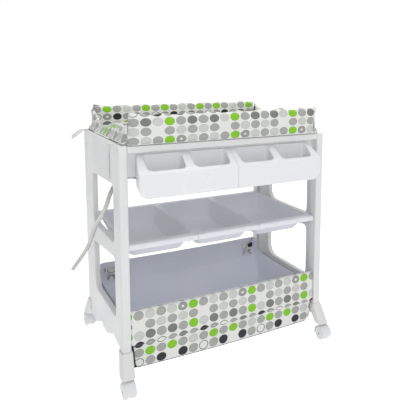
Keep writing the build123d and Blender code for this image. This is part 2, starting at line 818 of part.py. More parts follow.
def basket_ties():
    """The cloth bows inside the two rear corners: two loops, a knot and two tails."""
    bows = []
    rear_y = -liner_front_y() - liner_wall - seat_gap
    half = tie_width / 2
    for _, sign in SIDES:
        middle = sign * (basket_half_width - liner_wall - tie_inset - half)
        height = liner_rear_top - tie_height
        knot = tie_height / 5
        outline = ((0, knot), (half, tie_height / 2), (half, -knot), (knot, -knot / 2),
                   (half * tie_tail_share, -tie_drop), (half * tie_tail_share - knot, -tie_drop),
                   (0, -knot), (knot - half * tie_tail_share, -tie_drop),
                   (-half * tie_tail_share, -tie_drop), (-knot, -knot / 2), (-half, -knot),
                   (-half, tie_height / 2))
        points = [(middle + x, height + z) for x, z in outline]
        face = make_face(Plane.XZ * Polyline(*points, close=True))
        bows.append(Pos(0, rear_y - tie_thickness, 0) * extrude(face, tie_thickness, dir=(0, 1, 0)))
    return group(bows)


def mat_board():
    """The stiff board under the pad, with an ear for each arm."""
    half_x = mat_half_width - board_inset
    half_y = mat_half_depth - board_inset - wall_bulge
    board = Pos(0, 0, mat_bottom) * extrude(
        RectangleRounded(2 * half_x, 2 * half_y, board_corner_radius), board_thickness)
    return board


def mat_ears():
    """The two ears under the board, each with a pin for its arm's free end."""
    ears = []
    for _, sign in SIDES:
        x_range = (sign * ear_inner_x, sign * ear_outer_x)
        body = block(x_range, (mat_pivot_y - ear_width / 2, mat_pivot_y + ear_width / 2),
                     (arm_pivot_z, mat_bottom))
        body += rod((sign * ear_inner_x, mat_pivot_y, arm_pivot_z), (sign, 0, 0), ear_width / 2,
                    ear_thickness)
        shoulder = arm_inner_x - seat_gap - ear_outer_x
        body += rod((sign * ear_outer_x, mat_pivot_y, arm_pivot_z), (sign, 0, 0), pivot_head_radius,
                    shoulder)
        body += rod((sign * (ear_outer_x + shoulder), mat_pivot_y, arm_pivot_z), (sign, 0, 0),
                    pivot_radius, seat_gap + arm_thickness + seat_gap + pivot_head_thickness)
        ears.append(body)
    return group(ears)


def retainer(x, sign, y):
    """A press-on ring at the free end of a pivot pin."""
    ring = rod((x, y, arm_pivot_z), (sign, 0, 0), pivot_head_radius, pivot_head_thickness)
    return ring - rod((x - sign * overrun, y, arm_pivot_z), (sign, 0, 0), pivot_radius,
                      pivot_head_thickness + 2 * overrun)


def mat_retainers():
    return group(retainer(sign * (arm_outer_x + seat_gap), sign, mat_pivot_y) for _, sign in SIDES)


def frame_retainers():
    return group(retainer(sign * (arm_inner_x - seat_gap), -sign, arm_pivot_y) for _, sign in SIDES)


def arm(side_sign):
    """A flat arm between the rear post's pivot and the middle of the mat."""
    x_range = (side_sign * arm_inner_x, side_sign * arm_outer_x)
    radius = arm_width / 2
    body = block(x_range, (mat_pivot_y, arm_pivot_y), (arm_pivot_z - radius, arm_pivot_z + radius))
    for y in (mat_pivot_y, arm_pivot_y):
        body += rod((x_range[0], y, arm_pivot_z), (side_sign, 0, 0), radius, arm_thickness)
    for y in (mat_pivot_y, arm_pivot_y):
        body -= rod((x_range[0] - side_sign * overrun, y, arm_pivot_z), (side_sign, 0, 0),
                    pivot_radius + running_clearance, arm_thickness + 2 * overrun)
    return body


def pivot_bracket(side_sign):
    """The plate on the inside of a rear post, with the arm's pivot pin."""
    plate_face = post_inner_x - plate_thickness
    body = block((side_sign * plate_face, side_sign * post_inner_x),
                 (arm_pivot_y - plate_width / 2, arm_pivot_y + plate_width / 2),
                 (post_top - plate_height - overrun, post_top - overrun))
    shoulder_start = arm_outer_x + seat_gap
    body += rod((side_sign * plate_face, arm_pivot_y, arm_pivot_z), (-side_sign, 0, 0),
                pivot_head_radius, plate_face - shoulder_start)
    pin = seat_gap + arm_thickness + seat_gap + pivot_head_thickness
    body += rod((side_sign * shoulder_start, arm_pivot_y, arm_pivot_z), (-side_sign, 0, 0),
                pivot_radius, pin)
    return body


def bracket_screws():
    """The screw heads on the two pivot plates, below the pivot."""
    heads = []
    for _, sign in SIDES:
        face = post_inner_x - plate_thickness
        for way in (-1, 1):
            y = arm_pivot_y + way * (plate_width / 2 - plate_screw_inset / 2 - plate_screw_radius / 2)
            z = post_top - plate_height + plate_screw_inset - overrun
            heads.append(rod((sign * face, y, z), (-sign, 0, 0), plate_screw_radius,
                             plate_screw_height))
    return group(heads)


def mat_pad():
    """The flat pad: crowned both ways, with its sides drawn in."""
    half_x = mat_half_width - pad_inset
    half_y = mat_half_depth - pad_inset
    bottom = pad_bottom
    edge = bottom + pad_edge_height
    crown = bottom + pad_crown_height

    def crowned(plane, half_span, reach):
        outline = Polyline((half_span, edge), (half_span, bottom), (-half_span, bottom),
                           (-half_span, edge))
        top = ThreePointArc((-half_span, edge), (0, crown), (half_span, edge))
        face = make_face(plane * (outline + top))
        return extrude(face, reach, both=True)

    across_x = crowned(Plane.XZ, half_x, half_y + overrun)
    across_y = crowned(Plane.YZ, half_y, half_x + overrun)
    corners = ((-half_x, -half_y), (half_x, -half_y), (half_x, half_y), (-half_x, half_y))
    middles = ((0, -half_y + pad_draw_in), (half_x - pad_draw_in, 0), (0, half_y - pad_draw_in),
               (-half_x + pad_draw_in, 0))
    sides = [ThreePointArc(corners[i], middles[i], corners[(i + 1) % 4]) for i in range(4)]
    plan = extrude(make_face(sides), crown + overrun)
    return across_x & across_y & plan


def mat_wall(end_sign):
    """A padded wall along the front or rear of the mat, bulged outward, with a round top."""
    outer = mat_half_depth - wall_bulge
    inner = outer - wall_thickness
    board_edge = mat_half_depth - board_inset - wall_bulge + seat_gap
    shoulder = mat_top - wall_thickness / 2
    middle = (mat_bottom + shoulder) / 2
    front = ThreePointArc((outer, mat_bottom), (mat_half_depth, middle), (outer, shoulder))
    top = ThreePointArc((outer, shoulder), ((outer + inner) / 2, mat_top), (inner, shoulder))
    rest = Polyline((inner, shoulder), (inner, pad_bottom), (board_edge, pad_bottom),
                    (board_edge, mat_bottom), (outer, mat_bottom))
    face = make_face(Plane.YZ * (front + top + rest))
    body = Pos(-mat_half_width, 0, 0) * extrude(face, 2 * mat_half_width, dir=(1, 0, 0))
    return mirror(body, Plane.XZ) if end_sign < 0 else body


def mat_gusset(side_sign):
    """The low end wall, which falls from the rear wall and rises again to the front one."""
    reach = mat_half_depth - wall_bulge - wall_thickness - seat_gap
    outer = side_sign * (mat_half_width - overrun)
    inner = outer - side_sign * gusset_thickness
    depth = 2 * mat_half_depth
    points = ((-reach, pad_bottom), (reach, pad_bottom), (reach, mat_bottom + gusset_rear_height),
              (gusset_rear_share * depth, mat_bottom + gusset_low_height),
              (gusset_middle_share * depth / 2, mat_bottom + gusset_middle_height),
              (-reach, mat_bottom + gusset_front_height))
    small = gusset_thickness / 4
    radii = (small, small, small, gusset_thickness * 2, gusset_thickness * 2, small)
    return side_profile(points, radii, (inner, outer))


def mat_straps():
    """A webbing strap from each rear corner of the mat, with a free square end."""
    straps = []
    for _, sign in SIDES:
        start = mat_half_width
        bend = start + strap_reach
        tip = bend + strap_tail
        top = mat_bottom + strap_thickness + seat_gap
        low = top - strap_tail_drop
        points = ((sign * start, top), (sign * bend, top), (sign * tip, low),
                  (sign * (tip - strap_thickness), low - strap_thickness),
                  (sign * (bend - strap_thickness / 2), top - strap_thickness),
                  (sign * start, top - strap_thickness))
        face = make_face(Plane.XZ * Polyline(*points, close=True))
        straps.append(Pos(0, strap_y, 0) * extrude(face, strap_width / 2, both=True))
    return group(straps)


def strap_buckle():
    """The white buckle at the top of the left panel's outer face."""
    outer = -(half_width + buckle_thickness)
    body = block((outer, -half_width), (side_strap_y - buckle_width / 2, side_strap_y + buckle_width / 2),
                 (buckle_bottom, buckle_top))
    return fillet(body.faces().sort_by(Axis.X)[0].edges(), overrun)


def side_strap():
    """The webbing that hangs from the buckle, flat on the panel."""
    outer = -(half_width + seat_gap + strap_thickness)
    half = side_strap_width / 2
    return block((outer, -half_width - seat_gap), (side_strap_y - half, side_strap_y + half),
                 (buckle_bottom - side_strap_length, buckle_bottom))


def main():
    for end, end_sign in ENDS:
        for side, side_sign in SIDES:
            corner = f"{end}_{side}"
            save(f"{corner}_post", post(side_sign, end, end_sign))
            save(f"{corner}_foot", foot(side_sign, end_sign))
            save(f"{corner}_caster_housing", caster_housing(side_sign, end_sign))
            save(f"{corner}_caster_wheels", caster_wheels(side_sign, end_sign))
            save(f"{corner}_caster_axle", caster_axle(side_sign, end_sign))
    for side, side_sign in SIDES:
        save(f"{side}_panel", side_panel(side_sign))
        save(f"{side}_tray", tray_half(side_sign))
        save(f"{side}_arm", arm(side_sign))
        save(f"{side}_pivot_bracket", pivot_bracket(side_sign))
        save(f"mat_{side}_gusset", mat_gusset(side_sign))
    save("front_rail", front_rail())
    save("rear_rail", rear_rail())
    save("rail_screws", group(rail_screw(sign, end, 0) for end, _ in ENDS for _, sign in SIDES))
    save("tub", tub())
    save("tub_drain", tub_drain())
    save("drain_plug", drain_plug())
    save("drain_hose", drain_hose())
    save("tray_screws", tray_screws())
    save("front_shelf_bar", shelf_bar(-1))
    save("rear_shelf_bar", shelf_bar(1))
    for index, name in enumerate(("left_bin", "middle_bin", "right_bin")):
        save(name, shelf_bin(index))
    save("basket_rods", basket_rods())
    save("basket_liner", basket_liner())
    save("basket_front_panel", basket_front_panel())
    save("basket_trim", basket_trim())
    save("basket_ties", basket_ties())
    save("mat_board", mat_board())
    save("mat_ears", mat_ears())
    save("mat_retainers", mat_retainers())
    save("frame_retainers", frame_retainers())
    save("bracket_screws", bracket_screws())
    save("mat_pad", mat_pad())
    save("mat_front_wall", mat_wall(-1))
    save("mat_rear_wall", mat_wall(1))
    save("mat_straps", mat_straps())
    save("strap_buckle", strap_buckle())
    save("side_strap", side_strap())


main()
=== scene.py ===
import math
from functools import partial

import bmesh
import bpy
from mathutils import Matrix, Vector, noise


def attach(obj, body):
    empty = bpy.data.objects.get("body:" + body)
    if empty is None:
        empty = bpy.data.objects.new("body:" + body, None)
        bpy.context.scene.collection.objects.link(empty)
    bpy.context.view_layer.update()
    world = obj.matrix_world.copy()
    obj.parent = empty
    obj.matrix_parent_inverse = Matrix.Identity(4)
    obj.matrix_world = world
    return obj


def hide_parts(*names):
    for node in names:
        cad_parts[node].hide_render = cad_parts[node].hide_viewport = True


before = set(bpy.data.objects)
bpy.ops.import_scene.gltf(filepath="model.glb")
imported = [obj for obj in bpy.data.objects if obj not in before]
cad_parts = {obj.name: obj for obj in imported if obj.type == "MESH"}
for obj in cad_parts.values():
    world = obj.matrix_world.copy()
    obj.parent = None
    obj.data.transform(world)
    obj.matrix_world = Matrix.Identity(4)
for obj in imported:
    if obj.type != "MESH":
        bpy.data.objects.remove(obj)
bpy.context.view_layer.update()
scene = bpy.context.scene
bpy.ops.object.select_all(action="DESELECT")
print("the packed frame is in")


# Small helpers for every piece

def pick(piece):
    bpy.ops.object.select_all(action="DESELECT")
    piece.select_set(True)
    bpy.context.view_layer.objects.active = piece


def linked(name, data):
    piece = bpy.data.objects.new(name, data)
    scene.collection.objects.link(piece)
    return piece


def applyModifiers(piece):
    pick(piece)
    for name in [modifier.name for modifier in piece.modifiers]:
        bpy.ops.object.modifier_apply(modifier=name)


def settle(piece):  # moves the object's place into its mesh
    pick(piece)
    bpy.ops.object.transform_apply(location=True, rotation=True, scale=True)


def makeBox(name, middle, size):
    bpy.ops.mesh.primitive_cube_add(size=1, location=middle)
    piece = bpy.context.view_layer.objects.active
    piece.name, piece.scale = name, size
    settle(piece)
    return piece


def editParts(piece, kind, test, *steps):  # runs Blender's own steps on the edges or faces that pass a test
    pick(piece)
    bpy.ops.object.mode_set(mode="EDIT")
    bpy.ops.mesh.select_all(action="DESELECT")
    shell = bmesh.from_edit_mesh(piece.data)
    for part in getattr(shell, kind):
        part.select_set(test(part))
    bmesh.update_edit_mesh(piece.data)
    for step, values in steps:
        step(**values)
    bpy.ops.object.mode_set(mode="OBJECT")


def thicken(piece, thickness, offset=0, smooth=True):
    body = piece.modifiers.new("body", "SOLIDIFY")
    body.thickness, body.offset = thickness, offset
    applyModifiers(piece)
    if smooth:
        piece.data.shade_smooth()


def eased(start, end, x):
    t = min(1.0, max(0.0, (x - start) / (end - start)))
    return t * t * (3 - 2 * t)


def hump(x, middle, width):  # a soft hump of height 1
    return math.exp(-((x - middle) / width) ** 2)


def ripple(a, b, seed):  # soft unevenness from about -1 to 1
    return noise.noise(Vector((a, b, seed)))


def distances(points):  # how far along the line each point lies
    out = [0.0]
    for p, q in zip(points, points[1:]):
        out.append(out[-1] + (q - p).length)
    return out


def throughPoints(points, step):  # evenly spaced points on a smooth line through given ones
    points = [Vector(p) for p in points]
    ends = [2 * points[0] - points[1]] + points + [2 * points[-1] - points[-2]]
    fine = []
    for i in range(1, len(ends) - 2):
        a, b, c, d = ends[i - 1:i + 3]
        for j in range(16):
            t = j / 16
            fine.append(0.5 * (2 * b + (c - a) * t + (2 * a - 5 * b + 4 * c - d) * t * t
                               + (3 * b - a - 3 * c + d) * t * t * t))
    fine.append(points[-1])
    lengths = distances(fine)
    count = max(2, round(lengths[-1] / step))
    out = []
    k = 0
    for i in range(count + 1):
        s = lengths[-1] * i / count
        while k < len(fine) - 2 and lengths[k + 1] < s:
            k += 1
        share = (s - lengths[k]) / max(1e-9, lengths[k + 1] - lengths[k])
        out.append(fine[k].lerp(fine[k + 1], min(1.0, share)))
    return out, lengths[-1]


def layPrint(piece, places):  # where each point lies on the cloth, for the patterns
    lay = piece.data.attributes.new("printPlace", "FLOAT_VECTOR", "POINT")
    lay.data.foreach_set("vector", [c for u, v in places for c in (u, v, 0.0)])


def printBy(piece, place):
    layPrint(piece, [place(v.co) for v in piece.data.vertices])


def reshape(piece, move):
    for v in piece.data.vertices:
        v.co = move(v.co)
    piece.data.update()


def clothGrid(name, rows, printed, closed=False):  # a sheet from rows of points
    across = len(rows[0])
    faces = []
    for i in range(len(rows) - 1):
        for j in range(across if closed else across - 1):
            k = (j + 1) % across
            faces.append((i * across + j, i * across + k, (i + 1) * across + k, (i + 1) * across + j))
    mesh = bpy.data.meshes.new(name)
    mesh.from_pydata([tuple(p) for row in rows for p in row], [], faces)
    piece = linked(name, mesh)
    layPrint(piece, [uv for row in printed for uv in row])
    return piece


def joinPieces(parts, name):
    pick(parts[0])
    for part in parts:
        part.select_set(True)
    bpy.ops.object.join()
    parts[0].name = parts[0].data.name = name
    return parts[0]


def fitPiece(piece, name, body, slotName, finish, *stands):
    piece.name = piece.data.name = name
    piece.data.materials.clear()
    piece.data.materials.append(finishes[finish])
    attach(piece, body)
    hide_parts(*stands)
    return piece


# Camera at the photograph's viewing angle

cameraView = {
    "place": (-0.836205, -1.901750, 1.084031),
    "turn": 0.525509,
    "tilt": 0.120407,
    "roll": 0.008366,
    "focal": 529.986,
    "centre": (261.247, 130.0),
    "picture": 400,
    "sensor": 36,
    "farthest": 100,
}


def placeCamera(view):
    turn, tilt, roll = view["turn"], view["tilt"], view["roll"]
    ahead = Vector((math.sin(turn) * math.cos(tilt), math.cos(turn) * math.cos(tilt), -math.sin(tilt)))
    side = Vector((math.cos(turn), -math.sin(turn), 0))
    above = side.cross(ahead)
    right = side * math.cos(roll) + above * math.sin(roll)
    up = above * math.cos(roll) - side * math.sin(roll)
    data = bpy.data.cameras.new("photoCamera")
    data.sensor_fit = "HORIZONTAL"
    data.sensor_width = view["sensor"]
    data.lens = view["sensor"] * view["focal"] / view["picture"]
    data.shift_x = 0.5 - view["centre"][0] / view["picture"]
    data.shift_y = view["centre"][1] / view["picture"] - 0.5
    data.clip_end = view["farthest"]
    camera = linked("photoCamera", data)
    camera.matrix_world = (Matrix.Translation(view["place"])
                           @ Matrix((right, up, -ahead)).transposed().to_4x4())
    scene.camera = camera


placeCamera(cameraView)
print("camera set")


# Node helpers. Each finds its tree through the sockets that it gets

def wire(inputs, values):  # sockets are linked, anything else is set
    for key, value in values.items():
        if isinstance(value, bpy.types.NodeSocket):
            value.id_data.links.new(value, inputs[key])
        else:
            inputs[key].default_value = value


def addNode(tree, kind, values=None, **settings):
    made = tree.nodes.new("ShaderNode" + kind)
    for key, value in settings.items():
        setattr(made, key, value)
    wire(made.inputs, values or {})
    return made.outputs


def calc(operation, *terms):
    tree = next(term.id_data for term in terms if isinstance(term, bpy.types.NodeSocket))
    return addNode(tree, "Math", dict(enumerate(terms)), operation=operation)[0]


plus, minus, times = (partial(calc, operation) for operation in ("ADD", "SUBTRACT", "MULTIPLY"))


def vectorCalc(operation, *terms):
    out = addNode(terms[0].id_data, "VectorMath", dict(enumerate(terms)), operation=operation)
    return out["Value" if operation in ("DOT_PRODUCT", "LENGTH") else "Vector"]


def mixColour(share, a, b, way="MIX"):
    a, b = ((*colour, 1) if isinstance(colour, tuple) else colour for colour in (a, b))
    return addNode(share.id_data, "Mix", {0: share, 6: a, 7: b}, data_type="RGBA", blend_type=way)[2]


def remap(value, low, high, to=(0.0, 1.0)):
    return addNode(value.id_data, "MapRange", {"Value": value, "From Min": low, "From Max": high,
                                               "To Min": to[0], "To Max": to[1]})[0]


def unevenness(place, scale, detail, rough=0.5, distortion=0.0):
    return addNode(place.id_data, "TexNoise", {"Vector": place, "Scale": scale, "Detail": detail,
                                               "Roughness": rough, "Distortion": distortion})[0]


def bumped(height, distance, strength, normal=None):
    values = {"Height": height, "Distance": distance, "Strength": strength}
    if normal is not None:
        values["Normal"] = normal
    return addNode(height.id_data, "Bump", values)[0]


def newGroup(name, numbers, results):
    tree = bpy.data.node_groups.new(name, "ShaderNodeTree")
    tree.interface.new_socket("Vector", in_out="INPUT", socket_type="NodeSocketVector")
    for label, value in numbers.items():
        socket = tree.interface.new_socket(label, in_out="INPUT", socket_type="NodeSocketFloat")
        socket.default_value = value
    for label in results:
        kind = "Color" if label == "Color" else "Float"
        tree.interface.new_socket(label, in_out="OUTPUT", socket_type="NodeSocket" + kind)
    return tree, tree.nodes.new("NodeGroupInput").outputs, tree.nodes.new("NodeGroupOutput").inputs


def useGroup(place, group, **numbers):
    return addNode(place.id_data, "Group", {"Vector": place, **numbers}, node_tree=group)


# Moulded grain: the fine orange skin of moulded plastic and the slow waves of its walls

def makeMouldedGrain():
    numbers = {"Fineness": 900.0, "Waves": 14.0}
    tree, given, out = newGroup("mouldedGrain", numbers, ("Height", "Tone", "Scuffs"))
    fine = unevenness(given["Vector"], given["Fineness"], 3.0, 0.6)
    slow = unevenness(given["Vector"], given["Waves"], 2.0)
    scuff = unevenness(given["Vector"], 60.0, 8.0, 0.7, 1.5)
    wire(out, {"Height": plus(times(fine, 0.12), slow), "Tone": remap(slow, 0.3, 0.7),
               "Scuffs": remap(scuff, 0.56, 0.75)})
    return tree


# Edge mask: where a rounded edge's direction leaves the true one. Plastics use it to paint a highlight along
# their edges, metals to show real wear to bare metal

def makeEdgeWearAndHighlight():
    tree, given, out = newGroup("edgeWearAndHighlight", {"Reach": 3.0}, ("Mask",))
    true = addNode(tree, "NewGeometry")["True Normal"]
    mask = times(minus(1.0, vectorCalc("DOT_PRODUCT", given["Vector"], true)), given["Reach"])
    wire(out, {"Mask": calc("MINIMUM", calc("MAXIMUM", mask, 0.0), 1.0)})
    return tree


# Weave: over-and-under threads from a place given in threads

def makeWeave():
    tree, given, out = newGroup("weave", {"Threads": 60.0}, ("Height", "Tone"))
    place = addNode(tree, "VectorMath", {0: given["Vector"], "Scale": given["Threads"]}, operation="SCALE")[0]
    parts = addNode(tree, "SeparateXYZ", {0: place})
    warp, weft = (calc("SINE", times(parts[i], math.pi)) for i in (0, 1))
    threads = plus(calc("ABSOLUTE", warp), calc("ABSOLUTE", weft))
    height = plus(times(threads, 0.3), times(times(warp, weft), 0.2))
    uneven = unevenness(place, 0.35, 3.0)
    wire(out, {"Height": plus(height, times(uneven, 0.3)), "Tone": uneven})
    return tree


# Soft folds: slow creases that a cloth keeps from being packed and pulled

def makeSoftFolds():
    tree, given, out = newGroup("softFolds", {"Size": 9.0, "Slant": 0.6}, ("Height", "Tone"))
    turned = addNode(tree, "VectorRotate", {"Vector": given["Vector"], "Axis": (0, 0, 1),
                                            "Angle": given["Slant"]})[0]
    creases = unevenness(vectorCalc("MULTIPLY", turned, (0.35, 1.0, 1.0)), given["Size"], 2.5, 0.45, 0.6)
    broad = unevenness(given["Vector"], times(given["Size"], 0.4), 1.0)
    ridge = minus(1.0, times(calc("ABSOLUTE", minus(creases, 0.5)), 5.0))
    wire(out, {"Height": plus(times(ridge, 0.45), broad), "Tone": remap(broad, 0.3, 0.7)})
    return tree


# Dot print: six columns by six rows of dots that repeat, one unit of place for each dot

dotPrint = {
    "rows": ("mid light mid light hollow green", "blank mid light mid light mid",
             "light dark mid dark mid green", "black hollow ring mid dark mid",
             "mid green mid green mid light", "ring mid black blank black mid"),
    "ground": (0.825, 0.825, 0.781),
    "colours": {"light": (0.616, 0.627, 0.589), "mid": (0.396, 0.407, 0.374), "dark": (0.204, 0.209, 0.193),
                "black": (0.016, 0.016, 0.021), "green": (0.237, 0.583, 0.013),
                "hollow": (0.33, 0.341, 0.308), "ring": (0.040, 0.042, 0.050),
                "blank": (0.792, 0.792, 0.759)},
    "holes": {"hollow": 0.28, "ring": 0.81, "blank": 1.0},
    "radius": 0.452,
    "soft": 0.022,
    "wobble": 0.035,
    "rim": (0.06, 0.02),
    "rimShade": 0.30,
    "half": (0.5, 0.5, 0.0),
}


def makeDotPrint(look):
    tree, given, out = newGroup("dotPrint", {}, ("Color", "Ink"))
    wobble = unevenness(given["Vector"], 1.7, 1.0)
    shifted = vectorCalc("ADD", given["Vector"], look["half"])
    cell = vectorCalc("FLOOR", shifted)
    local = vectorCalc("SUBTRACT", vectorCalc("SUBTRACT", shifted, cell), look["half"])
    parts = addNode(tree, "SeparateXYZ", {0: cell})
    column, row = (calc("FLOORED_MODULO", parts[i], 6.0) for i in (0, 1))
    number = plus(times(row, 6.0), column)
    kinds = " ".join(look["rows"]).split()
    ramps = []
    for first in (0, 18):  # a ramp holds at most 32 colours, so each takes half of the 36 dots
        ramp = addNode(tree, "ValToRGB", {"Fac": calc("DIVIDE", plus(number, 0.5 - first), 18.0)})
        ramp[0].node.color_ramp.interpolation = "CONSTANT"
        stops = ramp[0].node.color_ramp.elements
        for i, kind in enumerate(kinds[first:first + 18]):
            stop = stops[i] if i < 2 else stops.new(i / 18)
            stop.position = i / 18
            stop.color = (*look["colours"][kind], look["holes"].get(kind, 0.0))
        ramps.append(ramp)
    later = calc("GREATER_THAN", number, 17.5)
    colour = mixColour(later, ramps[0]["Color"], ramps[1]["Color"])
    hole = plus(times(ramps[0]["Alpha"], minus(1.0, later)), times(ramps[1]["Alpha"], later))
    reach = plus(vectorCalc("LENGTH", local), times(minus(wobble, 0.5), look["wobble"]))
    radius, soft = look["radius"], look["soft"]
    rim = remap(reach, *(radius - inset for inset in look["rim"]))
    holeEdge = times(hole, radius + 0.03)
    ink = times(remap(reach, radius, radius - soft), remap(reach, minus(holeEdge, soft), holeEdge))
    rimmed = mixColour(times(rim, look["rimShade"]), colour, (0.0, 0.0, 0.0))
    wire(out, {"Color": mixColour(ink, look["ground"], rimmed), "Ink": ink})
    return tree


grainGroup = makeMouldedGrain()
edgeWearAndHighlightGroup = makeEdgeWearAndHighlight()
weaveGroup = makeWeave()
foldsGroup = makeSoftFolds()
dotGroup = makeDotPrint(dotPrint)


def newMaterial(name):
    material = bpy.data.materials.new(name)
    material.use_nodes = True
    return material, material.node_tree, material.node_tree.nodes["Principled BSDF"].inputs


def objectPlace(tree):
    return addNode(tree, "TexCoord")["Object"]


def printPlace(tree):
    return addNode(tree, "Attribute", attribute_name="printPlace")["Vector"]


def roundedEdges(tree, radius):
    return addNode(tree, "Bevel", {"Radius": radius}, samples=4)[0]


def stripes(part, pitch):
    return calc("SINE", times(part, 2 * math.pi / pitch))


# Moulded plastics, each with its own colour, gloss and rounded edges, and a lighter edge colour painted along
# the edges as a highlight

plastics = {
    "mouldedWhite": {"colour": (0.77, 0.77, 0.754), "shade": (0.715, 0.721, 0.726),
                     "edge": (0.869, 0.869, 0.869), "rough": (0.34, 0.46), "fine": 1100.0, "waves": 9.0,
                     "depth": 0.0016, "round": 0.0018,
                     "constants": {"Specular IOR Level": 0.45, "Subsurface Weight": 0.06}},
    "trayWhite": {"colour": (0.825, 0.825, 0.836), "shade": (0.781, 0.786, 0.814), "edge": (0.9, 0.9, 0.9),
                  "rough": (0.26, 0.34), "fine": 1300.0, "waves": 5.0, "depth": 0.0006, "round": 0.0030,
                  "constants": {"Specular IOR Level": 0.5, "Subsurface Weight": 0.08}},
    "tubWhite": {"colour": (0.77, 0.775, 0.792), "shade": (0.715, 0.726, 0.759),
                 "edge": (0.858, 0.858, 0.869), "rough": (0.16, 0.26), "fine": 1500.0, "waves": 6.0,
                 "depth": 0.0008, "round": 0.0015,
                 "constants": {"Specular IOR Level": 0.5, "Coat Weight": 0.25}},
    "binLilac": {"colour": (0.808, 0.814, 0.853), "shade": (0.759, 0.77, 0.825), "edge": (0.88, 0.88, 0.9),
                 "rough": (0.42, 0.52), "fine": 1300.0, "waves": 6.0, "depth": 0.0010, "round": 0.0018,
                 "constants": {"Specular IOR Level": 0.4, "Subsurface Weight": 0.22}},
    "casterWhite": {"colour": (0.803, 0.803, 0.808), "shade": (0.737, 0.743, 0.759),
                    "edge": (0.88, 0.88, 0.88), "rough": (0.28, 0.42), "fine": 1500.0, "waves": 18.0,
                    "depth": 0.0005, "round": 0.0012,
                    "constants": {"Specular IOR Level": 0.5}},
    "wheelWhite": {"colour": (0.803, 0.808, 0.825), "shade": (0.66, 0.671, 0.704), "edge": (0.88, 0.88, 0.88),
                   "rough": (0.34, 0.55), "fine": 1800.0, "waves": 30.0, "depth": 0.0004, "round": 0.0012,
                   "constants": {"Specular IOR Level": 0.45}},
}


def makePlastic(name, look):
    material, tree, shader = newMaterial(name)
    rounded = roundedEdges(tree, look["round"])
    grain = useGroup(objectPlace(tree), grainGroup, Fineness=look["fine"], Waves=look["waves"])
    paintedEdgeHighlight = useGroup(rounded, edgeWearAndHighlightGroup, Reach=2.5)["Mask"]
    body = mixColour(times(grain["Tone"], 0.45), look["colour"], look["shade"])
    rough = remap(grain["Tone"], 0.0, 1.0, look["rough"])
    # the edges take the lighter edge colour: a painted highlight
    wire(shader, {"Base Color": mixColour(paintedEdgeHighlight, body, look["edge"]),
                  "Roughness": plus(rough, times(grain["Scuffs"], 0.05)),
                  "Normal": bumped(grain["Height"], look["depth"], 0.6, rounded),
                  "Subsurface Radius": (0.004, 0.004, 0.005), "Subsurface Scale": 1.0, **look["constants"]})
    return material


# Painted and bare metals

metals = {
    "armPaint": {"colour": (0.74, 0.745, 0.755), "bare": (0.5, 0.5, 0.51), "metal": False,
                 "rough": (0.31, 0.48), "fine": 700.0},
    "rodPaint": {"colour": (0.76, 0.76, 0.77), "bare": (0.55, 0.55, 0.56), "metal": False,
                 "rough": (0.27, 0.44), "fine": 900.0},
    "screwSteel": {"colour": (0.42, 0.42, 0.44), "bare": (0.6, 0.6, 0.6), "metal": True,
                   "rough": (0.29, 0.46), "fine": 2500.0},
    "axleSteel": {"colour": (0.20, 0.20, 0.22), "bare": (0.45, 0.45, 0.45), "metal": True,
                  "rough": (0.33, 0.50), "fine": 2500.0},
}


def makeMetal(name, look):
    material, tree, shader = newMaterial(name)
    rounded = roundedEdges(tree, 0.0008)
    grain = useGroup(objectPlace(tree), grainGroup, Fineness=look["fine"], Waves=25.0)
    worn = times(useGroup(rounded, edgeWearAndHighlightGroup, Reach=3.0)["Mask"], grain["Scuffs"])
    wire(shader, {"Base Color": mixColour(worn, look["colour"], look["bare"]),
                  "Roughness": remap(grain["Tone"], 0.0, 1.0, look["rough"]),
                  "Metallic": 1.0 if look["metal"] else worn,
                  "Normal": bumped(grain["Height"], 0.0004, 0.6, rounded)})
    return material


# Cloths, webbing, the mat's board and the hose's rubber

clothLooks = {
    "threads": 52.0,
    "threadDepth": 0.00025,
    "foldDepth": 0.0016,
    "linerDepth": 0.003,
    "liner": (0.84, 0.86, 0.91),
    "linerShade": (0.80, 0.82, 0.88),
}


def makeDottedCloth(name, look):
    material, tree, shader = newMaterial(name)
    place = printPlace(tree)
    drawn = useGroup(place, dotGroup)
    weave = useGroup(place, weaveGroup, Threads=look["threads"])
    folds = useGroup(place, foldsGroup, Size=0.8, Slant=0.9)
    thready = remap(weave["Tone"], 0.25, 0.75, (0.0, 0.12))
    toned = mixColour(thready, drawn["Color"], (0.45, 0.46, 0.46), "MULTIPLY")
    soft = bumped(folds["Height"], look["foldDepth"], 0.5)
    wire(shader, {"Base Color": mixColour(times(folds["Tone"], 0.10), toned, (0.62, 0.62, 0.66), "MULTIPLY"),
                  "Roughness": remap(drawn["Ink"], 0.0, 1.0, (0.66, 0.56)),
                  "Normal": bumped(weave["Height"], look["threadDepth"], 0.5, soft),
                  "Sheen Weight": 0.12, "Sheen Roughness": 0.5, "Specular IOR Level": 0.3})
    return material


def makeLinerCloth(name, look):
    material, tree, shader = newMaterial(name)
    place = printPlace(tree)
    weave = useGroup(place, weaveGroup, Threads=look["threads"])
    folds = useGroup(place, foldsGroup, Size=0.45, Slant=0.35)
    colour = mixColour(folds["Tone"], look["liner"], look["linerShade"])
    thready = remap(weave["Tone"], 0.3, 0.7, (0.0, 0.25))
    soft = bumped(folds["Height"], look["linerDepth"], 0.6)
    wire(shader, {"Base Color": mixColour(thready, colour, (0.8, 0.82, 0.86), "MULTIPLY"),
                  "Roughness": remap(weave["Tone"], 0.0, 1.0, (0.55, 0.75)),
                  "Normal": bumped(weave["Height"], look["threadDepth"], 0.5, soft),
                  "Sheen Weight": 0.15, "Sheen Roughness": 0.5, "Specular IOR Level": 0.3})
    return material


webbings = {
    "blackWebbing": {"colour": (0.035, 0.036, 0.045), "shade": (0.012, 0.012, 0.016)},
    "whiteWebbing": {"colour": (0.84, 0.84, 0.83), "shade": (0.70, 0.70, 0.70)},
}


